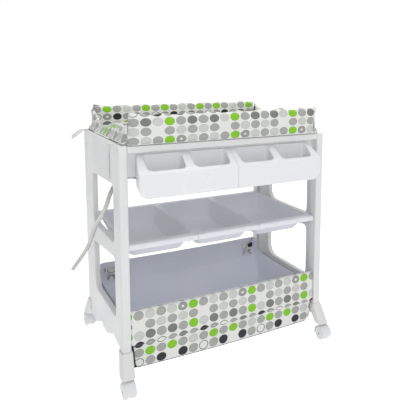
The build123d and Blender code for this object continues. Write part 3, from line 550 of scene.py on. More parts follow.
def makeWebbing(name, look):
    material, tree, shader = newMaterial(name)
    parts = addNode(tree, "SeparateXYZ", {0: printPlace(tree)})
    twill = plus(times(stripes(parts[1], 0.0022), 0.6), times(stripes(parts[0], 0.0016), 0.4))
    grain = useGroup(objectPlace(tree), grainGroup, Fineness=2200.0, Waves=90.0)
    share = remap(plus(twill, grain["Tone"]), -1.0, 2.0)
    wire(shader, {"Base Color": mixColour(share, look["shade"], look["colour"]),
                  "Roughness": remap(grain["Tone"], 0.0, 1.0, (0.6, 0.8)),
                  "Normal": bumped(twill, 0.0003, 0.7), "Sheen Weight": 0.1, "Specular IOR Level": 0.3})
    return material


def makeBoard(name):
    material, tree, shader = newMaterial(name)
    place = objectPlace(tree)
    stretched = addNode(tree, "Mapping", {"Vector": place, "Scale": (1.0, 14.0, 14.0)})[0]
    fibres = unevenness(stretched, 40.0, 6.0, 0.65)
    grain = useGroup(place, grainGroup, Fineness=1400.0, Waves=12.0)
    wire(shader, {"Base Color": mixColour(remap(fibres, 0.3, 0.7), (0.60, 0.60, 0.61), (0.70, 0.70, 0.71)),
                  "Roughness": remap(grain["Tone"], 0.0, 1.0, (0.5, 0.65)),
                  "Normal": bumped(plus(fibres, grain["Height"]), 0.0005, 0.5)})
    return material


def makeHoseRubber(name):
    material, tree, shader = newMaterial(name)
    grain = useGroup(objectPlace(tree), grainGroup, Fineness=1500.0, Waves=40.0)
    ribs = stripes(addNode(tree, "SeparateXYZ", {0: printPlace(tree)})[1], 0.0035)
    colour = mixColour(grain["Tone"], (0.66, 0.66, 0.62), (0.57, 0.57, 0.54))
    ribbed = remap(ribs, -1.0, 1.0, (0.0, 0.10))
    wire(shader, {"Base Color": mixColour(ribbed, colour, (0.5, 0.5, 0.5), "MULTIPLY"),
                  "Roughness": remap(grain["Tone"], 0.0, 1.0, (0.28, 0.42)),
                  "Normal": bumped(plus(grain["Height"], times(ribs, 0.25)), 0.0006, 0.5),
                  "Subsurface Weight": 0.3, "Subsurface Radius": (0.004, 0.004, 0.004),
                  "Subsurface Scale": 1.0, "Specular IOR Level": 0.5})
    return material


finishes = {"dottedCloth": makeDottedCloth("dottedCloth", clothLooks),
            "linerCloth": makeLinerCloth("linerCloth", clothLooks),
            "boardFibre": makeBoard("boardFibre"), "hoseRubber": makeHoseRubber("hoseRubber")}
for make, looks in ((makePlastic, plastics), (makeMetal, metals), (makeWebbing, webbings)):
    finishes.update({name: make(name, look) for name, look in looks.items()})
print("materials made:", len(finishes))


# CAD pieces that keep their shape take their finish by name, the rest of them are moulded white

keptFinishes = (
    ("_screws", "screwSteel"), ("mat_board", "boardFibre"), ("mat_ears", "armPaint"),
    ("retainers", "axleSteel"), ("axle", "axleSteel"), ("pivot_bracket", "armPaint"), ("_arm", "armPaint"),
    ("rods", "rodPaint"), ("shelf_bar", "rodPaint"), ("wheels", "wheelWhite"), ("housing", "casterWhite"),
    ("_tray", "trayWhite"), ("_bin", "binLilac"), ("drain_plug", "tubWhite"), ("tub", "tubWhite"),
)
for name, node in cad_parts.items():
    finish = next((f for part, f in keptFinishes if part in name), "mouldedWhite")
    node.data.materials.clear()
    node.data.materials.append(finishes[finish])
print("finishes put on the frame's pieces")


# Drain hose: one free hose that leaves the waste fitting and hangs out over the left side

drainHose = {
    "radius": 0.0075,
    "wall": 0.0015,
    "length": 0.822,
    "route": ((-0.162, -0.010, 0.623), (-0.206, -0.010, 0.623), (-0.251, -0.014, 0.664),
              (-0.301, -0.034, 0.686), (-0.345, -0.070, 0.681), (-0.376, -0.108, 0.675),
              (-0.402, -0.146, 0.655), (-0.417, -0.150, 0.612), (-0.421, -0.095, 0.566),
              (-0.424, -0.022, 0.518), (-0.426, 0.045, 0.448), (-0.433, 0.105, 0.388),
              (-0.450, 0.150, 0.338), (-0.471, 0.185, 0.290)),
}


def makeHose(look):
    data = bpy.data.curves.new("hoseLine", "CURVE")
    data.dimensions = "3D"
    data.resolution_u = 10
    spline = data.splines.new("NURBS")
    spline.points.add(len(look["route"]) - 1)
    for point, place in zip(spline.points, look["route"]):
        point.co = (*place, 1)
    spline.order_u = 3
    spline.use_endpoint_u = True
    line = linked("hoseLine", data)
    bpy.context.view_layer.update()
    bare = bpy.data.meshes.new_from_object(line.evaluated_get(bpy.context.evaluated_depsgraph_get()))
    path = [v.co.copy() for v in bare.vertices]
    bpy.data.meshes.remove(bare)
    data.bevel_depth = look["radius"]
    data.bevel_resolution = 6
    pick(line)
    bpy.ops.object.convert(target="MESH")
    hose = bpy.context.view_layer.objects.active
    lengths = distances(path)

    def along(co):
        k = min(range(len(path)), key=lambda i: (path[i] - co).length_squared)
        return 0.0, lengths[k]

    printBy(hose, along)
    thicken(hose, look["wall"], -1)
    fitPiece(hose, "drainHose", "frame", "hose_rubber", "hoseRubber", "drain_hose")
    print("hose length", round(lengths[-1], 4))


makeHose(drainHose)


# Puffing: cloth simulation under a little pressure, then kept near where it began

puffing = {"frames": 20, "pressure": 4.0, "quickShare": 0.4}


def puffUp(piece, voxel, cap, heldBelow):
    skin = piece.modifiers.new("skin", "REMESH")
    skin.mode = "VOXEL"
    skin.voxel_size = voxel
    applyModifiers(piece)
    mesh = piece.data
    begin = [v.co.copy() for v in mesh.vertices]
    held = piece.vertex_groups.new(name="held")
    held.add([i for i, co in enumerate(begin) if co.z < heldBelow], 1.0, "REPLACE")
    cloth = piece.modifiers.new("puff", "CLOTH")
    cloth.settings.use_pressure = True
    cloth.settings.uniform_pressure_force = puffing["pressure"]
    cloth.settings.effector_weights.gravity = 0
    cloth.settings.vertex_group_mass = "held"
    for number in range(1, puffing["frames"] + 1):
        scene.frame_set(number)
    shaped = piece.evaluated_get(bpy.context.evaluated_depsgraph_get()).to_mesh()
    moved = [v.co.copy() for v in shaped.vertices]
    piece.to_mesh_clear()
    piece.modifiers.remove(cloth)
    piece.vertex_groups.clear()
    scene.frame_set(1)
    for v, start, end in zip(mesh.vertices, begin, moved):
        shift = end - start
        v.co = start + shift * min(1.0, cap / max(1e-9, shift.length))
    mesh.update()
    soft = piece.modifiers.new("soft", "SUBSURF")
    soft.levels = soft.render_levels = 1
    applyModifiers(piece)
    piece.data.shade_smooth()
    print(piece.name, "puffed, points:", len(piece.data.vertices))


# The mat's print: one cloth that runs up the front wall, over the ridge, across and up the rear wall

matPrint = {
    "firstX": -0.351,
    "pitchX": 0.0402,
    "firstZ": 0.8405,
    "pitchZ": 0.0305,
    "innerRow": 4.0,
    "innerZ": 0.907,
}


def matColumn(x):
    return 2 - (x - matPrint["firstX"]) / matPrint["pitchX"]


def fitPad(piece, name, node):
    fitPiece(piece, name, "mat", "dotted_fabric", "dottedCloth", node)


matWalls = {
    "halfLength": 0.372,
    "outer": 0.259,
    "thickness": {-1: 0.031, 1: 0.025},
    "bottom": 0.8286,
    "top": {-1: 0.9365, 1: 0.9325},
    "shrink": 0.0035,
    "bevel": 0.47,
    "voxel": 0.005,
    "cap": 0.0050,
    "held": 0.007,
    "wave": 0.0026,
    "waveLength": 0.091,
    "pull": 0.0016,
    "crease": 0.0014,
    "tuckX": 0.045,
    "tuckZ": 0.8445,
    "tuckDepth": 0.0045,
    "swellZ": 0.8540,
    "swell": 0.0030,
    "ridgeArc": 0.78,
    "printLift": 0.0063,
    "printSpread": 0.05,
}


def makeMatWall(name, way, node):
    look = matWalls
    shrink, bottom = look["shrink"], look["bottom"]
    thickness, ridge = look["thickness"][way], look["top"][way]
    top = ridge - shrink - look["wave"]
    middle = way * (look["outer"] - thickness / 2)
    deep = thickness - 2 * shrink
    height = top - bottom
    wall = makeBox(name, (0, middle, bottom + height / 2), (2 * (look["halfLength"] - shrink), deep, height))

    def rounded(edge):  # the upright edges and the long ones of the top
        a, b = (v.co for v in edge.verts)
        return min(a.z, b.z) > top - 0.001 and abs(a.y - b.y) < 0.001 or abs(a.z - b.z) > 0.01

    editParts(wall, "edges", rounded, (bpy.ops.mesh.bevel, {"offset": deep * look["bevel"], "segments": 5,
                                                            "profile": 0.5}))
    puffUp(wall, look["voxel"], look["cap"], bottom + look["held"])

    def pucker(co):
        up = eased(0.899, 0.928, co.z)
        phase = 2 * math.pi * (co.x + 0.02 * ripple(co.x / 0.13, 0, 3 + way)) / look["waveLength"]
        wave = look["wave"] * (math.sin(phase) + 0.6 * ripple(co.x / 0.035, 1.7, 5 + way))
        pull = look["pull"] * math.sin(phase * 0.5 + 1) * eased(0.84, 0.90, co.z)
        crease = look["crease"] * ripple(co.x / 0.028, co.z / 0.05, 9 + way) * eased(0.832, 0.85, co.z)
        side = 1 if co.y > middle else -1
        co = co + Vector((0, pull + side * crease, up * wave))
        if way < 0:
            rightEnd = eased(0.29, 0.372, co.x)
            co.x += rightEnd * (0.004 - 0.019 * eased(0.930, 0.832, co.z))
            co.z += 0.0030 * rightEnd * eased(0.86, 0.92, co.z)
        if way < 0 and side < 0:  # the tuck near the middle of the front
            away = co.x - look["tuckX"]
            fold = hump(away, 0, 0.030) * hump(co.z - 0.10 * away, look["tuckZ"], 0.0042)
            swell = hump(away, 0, 0.036) * hump(co.z, look["swellZ"], 0.0085)
            co.y += look["tuckDepth"] * fold - look["swell"] * swell
        co.z = max(co.z, bottom - 0.0001)
        return co

    reshape(wall, pucker)
    radius = thickness / 2
    shoulder = ridge - radius

    def place(co):
        outward = way * (co.y - middle)
        if co.z > shoulder:
            angle = math.atan2(co.z - shoulder, outward)
            arc = shoulder + radius * (look["ridgeArc"] * angle if way < 0 else math.pi - angle)
        elif (outward > 0) == (way < 0):
            arc = co.z
        else:
            arc = shoulder + radius * math.pi + (shoulder - co.z)
        if way < 0:
            drawn = eased(-0.33, 0.30, co.x)  # the cloth sits higher towards the right
            row = (arc - matPrint["firstZ"] - look["printLift"] * drawn) / matPrint["pitchZ"]
            return matColumn(co.x), row / (1 + look["printSpread"] * drawn)
        return matColumn(co.x), matPrint["innerRow"] + (arc - matPrint["innerZ"]) / matPrint["pitchZ"]

    printBy(wall, place)
    fitPad(wall, name, node)


makeMatWall("matFrontWall", -1, "mat_front_wall")
makeMatWall("matRearWall", 1, "mat_rear_wall")


# End walls of the mat: low in the middle, rising to the long walls

matEnds = {
    "outer": 0.3712,
    "thickness": 0.012,
    "bottom": 0.8350,
    "contour": {"left": ((0.2460, 0.917), (0.2345, 0.915), (0.200, 0.901), (0.150, 0.880), (0.110, 0.869),
                         (0.060, 0.8655), (0.000, 0.867), (-0.070, 0.873), (-0.140, 0.881), (-0.200, 0.891),
                         (-0.2345, 0.898), (-0.2420, 0.899)),
                "right": ((0.2460, 0.916), (0.2345, 0.914), (0.200, 0.906), (0.160, 0.893), (0.120, 0.884),
                          (0.070, 0.877), (0.000, 0.874), (-0.070, 0.876), (-0.140, 0.883), (-0.200, 0.893),
                          (-0.2345, 0.899), (-0.2420, 0.900))},
    "step": 0.008,
    "shrink": 0.002,
    "voxel": 0.0045,
    "cap": 0.0045,
    "held": 0.006,
    "hangOut": 0.0150,
    "pitch": (0.046, 0.0315),
}


def makeMatEnd(side, way):
    look = matEnds
    line, _ = throughPoints([(0, y, z) for y, z in look["contour"][side]], look["step"])
    shell = bmesh.new()
    low = look["bottom"]
    inner = look["outer"] - look["thickness"] + look["shrink"]
    outer = look["outer"] - look["shrink"]
    rings = []
    for x, drop in ((inner, 0.004), (inner + 0.002, 0.0015), (outer - 0.002, 0.0015), (outer, 0.004)):
        top = [shell.verts.new((way * x, p.y, p.z - drop)) for p in line]
        base = [shell.verts.new((way * x, p.y, low)) for p in line]
        rings.append((top, base))
    for (topA, baseA), (topB, baseB) in zip(rings, rings[1:]):
        for i in range(len(line) - 1):
            shell.faces.new((topA[i], topA[i + 1], topB[i + 1], topB[i]))
            shell.faces.new((baseA[i], baseB[i], baseB[i + 1], baseA[i + 1]))
        for i in (0, -1):
            shell.faces.new((topA[i], topB[i], baseB[i], baseA[i]))
    for top, base in (rings[0], rings[-1]):
        for i in range(len(line) - 1):
            shell.faces.new((top[i], base[i], base[i + 1], top[i + 1]))
    bmesh.ops.recalc_face_normals(shell, faces=shell.faces)
    mesh = bpy.data.meshes.new("end")
    shell.to_mesh(mesh)
    shell.free()
    end = linked(side + "End", mesh)
    puffUp(end, look["voxel"], look["cap"], low + look["held"])

    def crumple(co):
        up = eased(0.842, 0.865, co.z)
        shift = 0.0022 * ripple(co.y / 0.045, co.z / 0.03, 21 + way) * up
        hang = eased(look["outer"] - 0.006, look["outer"] - 0.002, co.x * way) * eased(0.852, 0.838, co.z)
        shift += way * look["hangOut"] * hang
        lift = 0.0015 * ripple(co.y / 0.03, 0.4, 31 + way) * up - 0.0052 * hang
        return Vector((co.x + shift, co.y, max(low - 0.0055 * hang - 0.0002, co.z + lift)))

    def place(co):  # the outer face and the inner one show different rows
        row = 0.2 if co.x * way > look["outer"] - 0.006 else 4
        return co.y / look["pitch"][0] + 5.0, (co.z - 0.857) / look["pitch"][1] + row

    reshape(end, crumple)
    printBy(end, place)
    fitPad(end, "mat" + side.capitalize() + "End", "mat_" + side + "_gusset")


makeMatEnd("left", -1)
makeMatEnd("right", 1)


# The flat pad: crowned, with its sides drawn in and a sewn seam round it

matPad = {
    "half": (0.340, 0.230),
    "bottom": 0.8348,
    "edge": 0.8490,
    "crown": 0.8600,
    "drawIn": 0.007,
    "shrink": 0.003,
    "cuts": 15,
    "voxel": 0.006,
    "cap": 0.0045,
    "seamAt": 0.93,
    "seamDepth": 0.004,
}


def makeMatPad(look):
    halfX, halfY = (h - look["shrink"] for h in look["half"])
    bottom, edge = look["bottom"], look["edge"]
    pad = makeBox("pad", (0, 0, (bottom + edge) / 2), (2 * halfX, 2 * halfY, edge - bottom))
    editParts(pad, "faces", lambda face: True, (bpy.ops.mesh.subdivide, {"number_cuts": look["cuts"]}))

    def crowned(co):
        across, along = co.x / halfX, co.y / halfY
        share = eased(bottom + 0.004, edge, co.z)
        lift = (look["crown"] - edge) * (1 - across ** 4) * (1 - along ** 4)
        x = co.x - look["drawIn"] * across ** 3 * (1 - along ** 2)
        y = co.y - look["drawIn"] * along ** 3 * (1 - across ** 2)
        return Vector((x, y, co.z + share * lift))

    reshape(pad, crowned)
    puffUp(pad, look["voxel"], look["cap"], bottom + 0.004)

    def sewn(co):
        reach = max(abs(co.x) / look["half"][0], abs(co.y) / look["half"][1])
        seam = hump(reach, look["seamAt"], 0.012) * (1 if co.z > edge - 0.004 else 0)
        soft = 0.0012 * ripple(co.x / 0.07, co.y / 0.07, 41) * (1 if co.z > edge else 0)
        return Vector((co.x, co.y, max(bottom, co.z - look["seamDepth"] * seam + soft)))

    reshape(pad, sewn)
    printBy(pad, lambda co: (matColumn(co.x), co.y / matPrint["pitchZ"]))
    fitPad(pad, "matPad", "mat_pad")


makeMatPad(matPad)
print("mat made")


# Basket: the dotted front cloth over its rod, narrower below the fold

basketFront = {
    "halfWidth": 0.3695,
    "cornerTurn": 0.006,
    "wrap": 0.012,
    "section": ((-0.2260, 0.2650), (-0.2330, 0.2680), (-0.2400, 0.2665), (-0.2430, 0.2600), (-0.2434, 0.244),
                (-0.2442, 0.210), (-0.2452, 0.186), (-0.2470, 0.169), (-0.2480, 0.1595), (-0.2472, 0.1528),
                (-0.2438, 0.1494), (-0.2404, 0.1472), (-0.2384, 0.1410), (-0.2378, 0.124), (-0.2370, 0.100),
                (-0.2363, 0.078), (-0.2358, 0.0682), (-0.2335, 0.0644), (-0.2270, 0.0640), (-0.214, 0.0636),
                (-0.176, 0.0610)),
    "step": 0.0030,
    "columns": 170,
    "thickness": 0.0014,
    "wedgeTop": 0.158,
    "wedgeFoot": 0.064,
    "leftEdge": {"width": 0.009, "start": 0.008, "round": 0.014},
    "rightEdge": {"width": 0.002, "start": 0.006, "round": 0.026},
    "sagTop": 0.0022,
    "sagHem": 0.0045,
    "firstX": -0.3425,
    "pitchX": 0.0393,
    "firstRow": 0.0300,
    "pitchRow": 0.0350,
    "lowShift": 0.0070,
    "lowSlide": 0.0050,
}


def basketInset(z, way):  # how far the cloth's side edge is drawn in at a height
    look = basketFront
    edge = look["leftEdge"] if way < 0 else look["rightEdge"]
    share = min(1.0, max(0.0, (look["wedgeTop"] - z) / (look["wedgeTop"] - look["wedgeFoot"])))
    inset = edge["width"] * share + edge["start"] * eased(look["wedgeTop"], look["wedgeTop"] - 0.008, z)
    low = look["wedgeFoot"] + edge["round"]
    if z < low:
        drop = min(edge["round"], low - z)
        inset += edge["round"] - math.sqrt(max(0.0, edge["round"] ** 2 - drop ** 2))
    return inset


def hemDip(x):
    return -basketFront["sagHem"] * math.cos(math.pi * x / 0.60)


def makeBasketFront(look):
    line, length = throughPoints([(0, y, z) for y, z in look["section"]], look["step"])
    half, turn, columns = look["halfWidth"], look["cornerTurn"], look["columns"]
    flat = half - turn
    reach = flat + look["wrap"]
    rows, printed = [], []
    for i, p in enumerate(line):
        row, uv = [], []
        under = p.y > -0.2352 and p.z < 0.076
        upper = eased(0.146, 0.171, p.z)
        roll = hump(p.z, 0.158, 0.012)
        for j in range(columns + 1):
            t = (2 * j / columns - 1) * reach
            side = 1 if t > 0 else -1
            over = abs(t) - flat
            x, back = t, 0.0
            if over > 0:
                angle = min(math.pi / 2, over / turn)
                x = side * (flat + turn * math.sin(angle))
                back = turn * (1 - math.cos(angle)) + max(0.0, over - turn * math.pi / 2)
            squeeze = (half - basketInset(look["wedgeFoot"] if under else p.z, side)) / half
            x *= squeeze
            out = 0.0008 * (1 + ripple(x / 0.06, p.z / 0.05, 51))
            out += 0.0006 * upper * (1 + ripple(x / 0.022, p.z / 0.06, 52))
            out += 0.0006 * roll * (1 + ripple(x / 0.05, 0.3, 53))
            sag = -look["sagTop"] * math.cos(math.pi * x / 0.74) * eased(0.206, 0.268, p.z)
            sag += 0.0012 * roll * ripple(x / 0.07, 0.7, 54) + hemDip(x) * eased(0.092, 0.070, p.z)
            row.append((x, p.y + back - out * eased(0.064, 0.086, p.z), p.z + sag))
            low = eased(0.160, 0.146, p.z) * eased(-0.50, 0.30, x)
            run = length * i / (len(line) - 1) + look["lowShift"] * low
            uv.append(((t * squeeze - look["firstX"] - look["lowSlide"] * low) / look["pitchX"],
                       (run - look["firstRow"]) / look["pitchRow"]))
        rows.append(row)
        printed.append(uv)
    front = clothGrid("front", rows, printed)
    thicken(front, look["thickness"])
    fitPiece(front, "basketFront", "frame", "dotted_fabric", "dottedCloth", "basket_front_panel")
    print("basket front cloth", round(2 * reach, 4), round(length, 4))
    return front, (2 * reach, length)


# Basket: the grey inner bag, a lofted shell that sags, creased across its rear wall

basketBag = {
    "halfX": 0.365,
    "halfY": 0.2185,
    "floor": 0.0775,
    "corner": 0.022,
    "foot": 0.034,
    "sideTop": 0.222,
    "rearTop": 0.283,
    "frontTop": 0.2615,
    "thickness": 0.0016,
    "around": 260,
    "up": 30,
    "floorRings": 15,
    "creaseAt": 0.181,
    "creaseDepth": 0.0040,
    "lean": 0.028,
    "pitch": (0.040, 0.0352),
    "flat": (1.10, 0.80),
}


def bagOutline(look):  # points round the bag, with the way outwards and the distance round it
    corner = look["corner"]
    flatX, flatY = look["halfX"] - corner, look["halfY"] - corner
    bend = corner * math.pi / 2
    centres = [Vector((x * flatX, y * flatY)) for x, y in ((-1, -1), (1, -1), (1, 1), (-1, 1))]
    flats = (2 * flatX, 2 * flatY, 2 * flatX, 2 * flatY)
    total = sum(flats) + 4 * bend
    out = []
    for i in range(look["around"]):
        s = d = total * i / look["around"]
        side = 0
        while d > flats[side] + bend:
            d -= flats[side] + bend
            side += 1
        angle = math.radians(90 * side - 90) + max(0.0, d - flats[side]) / corner
        normal = Vector((math.cos(angle), math.sin(angle)))
        centre = centres[side].lerp(centres[(side + 1) % 4], min(1.0, d / flats[side]))
        out.append((centre + corner * normal, normal, s))
    return out


def makeBasketBag(look):
    outline = bagOutline(look)
    halfY, floor, foot = look["halfY"], look["floor"], look["foot"]
    pitchX, pitchRow = look["pitch"]
    arc = foot * math.pi / 2
    rows, printed = [], []

    def rimHeight(x, y):
        rear = eased(halfY - 0.030, halfY - 0.006, y)
        front = eased(halfY - 0.020, halfY - 0.006, -y)
        top = (look["sideTop"] + (look["rearTop"] - look["sideTop"]) * rear
               + (look["frontTop"] - look["sideTop"]) * front)
        slack = 0.006 * (1 - (y / halfY) ** 2) * (1 - rear) * (1 - front)
        return top - slack - 0.004 * rear * math.cos(math.pi * x / 0.75)

    for i in range(look["up"] + 1):
        row, uv = [], []
        for (x, y), (nx, ny), s in outline:
            top = rimHeight(x, y)
            d = (arc + top - floor - foot) * i / look["up"]
            inward, z = 0.0, floor + foot + d - arc
            if d < arc:
                inward, z = foot * (1 - math.sin(d / foot)), floor + foot * (1 - math.cos(d / foot))
            t = min(1.0, max(0.0, (z - floor) / (top - floor)))
            crease = 0.0022 * ripple((s + 0.55 * z) / 0.16, z / 0.16, 61)
            crease += 0.0012 * ripple((s - 0.8 * z) / 0.05, z / 0.10, 62)
            push = 0.0012 * math.sin(math.pi * t) + crease * math.sin(math.pi * min(1.0, t + 0.12))
            push -= inward + 0.0012
            # below the crease the rear wall leans in
            lean = (eased(look["creaseAt"] + 0.001, look["creaseAt"] - 0.003, z) * look["creaseDepth"]
                    + eased(look["creaseAt"], floor, z) * look["lean"])
            lean *= eased(0.10, halfY - 0.010, y)
            row.append((x + nx * push, y + ny * push - lean, z))
            uv.append((s / pitchX, d / pitchRow))
        rows.append(row)
        printed.append(uv)
    lowest = rows[0]
    for ring in range(1, look["floorRings"]):  # the floor closes inwards in rings that sink a little
        share = ring / look["floorRings"]
        row, uv = [], []
        for (x, y, z), (_, _, s) in zip(lowest, outline):
            x, y = x * (1 - share), y * (1 - share)
            sag = -0.0026 * (1 - (1 - share) ** 2) + 0.0014 * ripple(x / 0.09, y / 0.09, 63)
            row.append((x, y, z + sag))
            uv.append((s / pitchX, -0.2 * share / pitchRow))
        rows.insert(0, row)
        printed.insert(0, uv)
    bag = clothGrid("bag", rows, printed, closed=True)
    shell = bmesh.new()
    shell.from_mesh(bag.data)
    shell.verts.ensure_lookup_table()
    ring = [shell.verts[i] for i in range(look["around"])]
    middle = shell.verts.new((0, 0, rows[0][0][2] - 0.0003))
    for i in range(len(ring)):
        shell.faces.new((middle, ring[(i + 1) % len(ring)], ring[i]))
    bmesh.ops.recalc_face_normals(shell, faces=shell.faces)
    shell.to_mesh(bag.data)
    shell.free()
    area = sum(face.area for face in bag.data.polygons)
    thicken(bag, look["thickness"])
    fitPiece(bag, "basketBag", "frame", "liner_fabric", "linerCloth", "basket_liner")
    print("basket bag area", round(area, 4))
    return bag, area


# Ribbons of webbing and cloth: a line of places, a width and the way across

def ribbon(name, line, widths, across, thickness, columns=4):
    line = [Vector(p) for p in line]
    ways = across if hasattr(across[0], "__len__") else [across] * len(line)
    widths = widths if hasattr(widths, "__len__") else [widths] * len(line)
    rows, printed = [], []
    for p, way, width, run in zip(line, ways, widths, distances(line)):
        places = [width * (j / columns - 0.5) for j in range(columns + 1)]
        rows.append([p + Vector(way) * place for place in places])
        printed.append([(place, run) for place in places])
    strip = clothGrid(name, rows, printed)
    thicken(strip, thickness)
    pick(strip)
    bpy.ops.object.shade_smooth_by_angle(angle=math.radians(40))
    return strip


# Black webbing at the basket's lower front corners, a thin dark strip along its hem, and a tie at the right
# bow

basketTrim = {
    "outer": 0.3695,
    "top": 0.1535,
    "foot": 0.0655,
    "rightFoot": 0.134,
    "under": 0.004,
    "behind": 0.0021,
    "thickness": 0.0014,
    "thin": 0.0009,
    "darkHemStrip": 0.0018,
    "hem": (-0.2360, 0.0650),
    "tieWidth": 0.0034,
    "tie": ((0.345, 0.2150, 0.2790), (0.341, 0.2085, 0.2730), (0.333, 0.2070, 0.2620),
            (0.322, 0.2060, 0.2520), (0.310, 0.2050, 0.2480), (0.302, 0.2070, 0.2465)),
}


def makeBasketTrim(look):
    parts = []
    half = basketFront["halfWidth"]
    line, _ = throughPoints([(0, y, z) for y, z in basketFront["section"]], 0.004)
    for way in (-1, 1):
        rows, printed = [], []
        lowest = look["foot"] if way < 0 else look["rightFoot"]
        shown = [p for p in line if lowest < p.z < look["top"] and p.y < -0.2315]
        for p in shown:
            edge = half - basketInset(p.z, way) - look["under"]
            outer = look["outer"] - 0.012 * eased(0.154, 0.068, p.z)
            if way > 0:
                outer = look["outer"] + 0.003 - 0.017 * eased(look["top"], lowest, p.z)
            row = [(way * (edge + (outer - edge) * j / 5), p.y + look["behind"], p.z) for j in range(6)]
            rows.append(row if way > 0 else row[::-1])
            printed.append([(x, p.z) for x, _, _ in rows[-1]])
        wedge = clothGrid("wedge", rows, printed)
        thicken(wedge, look["thickness"], smooth=False)
        parts.append(wedge)
    left, right = (half - basketInset(0.0660, way) for way in (-1, 1))
    # a thin dark strip laid along the hem, in the black webbing finish
    hem = []
    for i in range(91):
        x = -left + (left + right) * i / 90
        hem.append((x, look["hem"][0] + 0.0002 * math.sin(i), look["hem"][1] + hemDip(x)))
    parts.append(ribbon("darkHemStrip", hem, look["darkHemStrip"], (0, 0.4, 0.9), look["thin"]))
    tie, _ = throughPoints(look["tie"], 0.003)
    parts.append(ribbon("tie", tie, look["tieWidth"], (0.8, 0, 0.6), look["thin"]))
    trim = joinPieces(parts, "basketTrim")
    return fitPiece(trim, "basketTrim", "frame", "trim_webbing", "blackWebbing", "basket_trim")


# Bows that tie the bag's rear corners: two loops, a knot and two tails each, placed from the knot's middle

cornerBows = {
    "middle": 0.317,
    "y": 0.2100,
    "height": 0.245,
    "width": 0.019,
    "thickness": 0.0011,
    "lifts": {-1: 0.004, 1: 0.002},
    "loop": ((0, -0.001, 0), (0.007, -0.0035, 1), (0.017, -0.005, 1.6), (0.027, -0.001, 1.4),
             (0.017, 0.0030, 1), (0.007, 0.0022, 0.4), (0, 0.001, 0)),
    "tail": ((0.001, -0.001, -0.001), (0.006, -0.0028, -0.012), (0.012, -0.0010, -0.028),
             (0.015, -0.0022, -0.032), (0.019, -0.0005, -0.040)),
    "knot": ((-0.0006, -0.0005, -0.0075), (0, -0.0050, -0.005), (0, -0.0066, 0), (0, -0.0050, 0.005),
             (0.0006, -0.0005, 0.0075), (0, 0.003, 0), (-0.0006, -0.0005, -0.0075)),
    "knotWidth": 0.0085,
    "knotThickness": 0.0014,
}


def makeBows(look):
    parts = []
    for way in (-1, 1):
        knot = Vector((way * look["middle"], look["y"], look["height"]))
        for side, lift in look["lifts"].items():
            loop = [knot + Vector((side * x, y, lift * z)) for x, y, z in look["loop"]]
            line, _ = throughPoints(loop, 0.0022)
            swells = [max(0.0, math.sin(math.pi * i / (len(line) - 1))) ** 0.7 for i in range(len(line))]
            widths = [look["width"] * (0.36 + 0.64 * swell) for swell in swells]
            parts.append(ribbon("loop", line, widths, (0.12 * side, 0, 1), look["thickness"]))
            line, _ = throughPoints([knot + Vector((side * x, y, z)) for x, y, z in look["tail"]], 0.0026)
            widths = [look["width"] * (0.42 + 0.42 * eased(0, 9, i)) for i in range(len(line))]
            parts.append(ribbon("tail", line, widths, (0.94, 0.10, -0.28 * side), look["thickness"]))
        line, _ = throughPoints([knot + Vector(p) for p in look["knot"]], 0.0018)
        parts.append(ribbon("knot", line, look["knotWidth"], (1, 0, 0), look["knotThickness"]))
    pitchX, pitchRow = basketBag["pitch"]
    for part in parts:  # the ribbon's own places, in metres, become places on the print
        lay = part.data.attributes["printPlace"].data
        for item, v in zip(lay, part.data.vertices):
            way = 1 if v.co.x > 0 else -1
            across, up = (v.co.x - way * look["middle"]) / pitchX, (v.co.z - look["height"]) / pitchRow
            item.vector = (2 + across, 2.8 + up, 0) if way < 0 else (3.6 + across, 5.15 - up, 0)
    bows = joinPieces(parts, "basketBows")
    return fitPiece(bows, "basketBows", "frame", "dotted_fabric", "dottedCloth", "basket_ties")


frontCloth, frontFlat = makeBasketFront(basketFront)
bagCloth, bagArea = makeBasketBag(basketBag)
trimCloth = makeBasketTrim(basketTrim)
bowCloth = makeBows(cornerBows)
print("basket made")


# Straps: a tail at each rear corner of the mat, and one that hangs from the buckle

straps = {
    "width": 0.020,
    "thickness": 0.0017,
    "step": 0.003,
    "y": 0.238,
    "tail": ((0.366, 0.8302), (0.380, 0.8303), (0.396, 0.8298), (0.409, 0.8283), (0.420, 0.8225),
             (0.431, 0.8140), (0.4495, 0.8010)),
    "sideY": -0.140,
    "sideWidth": 0.015,
    "side": ((-0.4012, 0.812), (-0.4014, 0.798), (-0.4022, 0.780), (-0.4012, 0.758), (-0.4020, 0.733),
             (-0.4012, 0.715), (-0.4018, 0.702)),
}


def makeStraps(look):
    parts = []
    for way in (-1, 1):
        line, _ = throughPoints([(way * x, look["y"], z) for x, z in look["tail"]], look["step"])
        twisted = [(x, y + 0.0012 * math.sin(i / 4), z) for i, (x, y, z) in enumerate(line)]
        turns = [eased(0.396, 0.424, abs(x)) for x, _, _ in twisted]
        ways = [Vector((0, 1 - 0.55 * t, 0.85 * t)).normalized() for t in turns]
        parts.append(ribbon("strapTail", twisted, look["width"], ways, look["thickness"]))
    tails = joinPieces(parts, "matStraps")
    fitPiece(tails, "matStraps", "mat", "strap_webbing", "whiteWebbing", "mat_straps")
    side = [(x, look["sideY"] + 0.0006 * i, z) for i, (x, z) in enumerate(look["side"])]
    line, _ = throughPoints(side, look["step"])
    hanging = ribbon("hanging", line, look["sideWidth"], (0, 1, 0), look["thickness"])
    fitPiece(hanging, "sideStrap", "frame", "strap_webbing", "whiteWebbing", "side_strap")


makeStraps(straps)


# Buckle: a rounded plate with a recess and two round bars across it

sideBuckle = {
    "face": -0.4050,
    "wall": -0.4000,
    "y": -0.140,
    "z": 0.8162,
    "width": 0.024,
    "height": 0.0212,
    "round": 0.005,
    "rim": 0.0018,
    "recess": 0.0012,
    "barLift": 0.0045,
    "barRadius": 0.0015,
    "barShort": 0.007,
    "barSink": 0.0013,
    "soft": 0.0005,
}


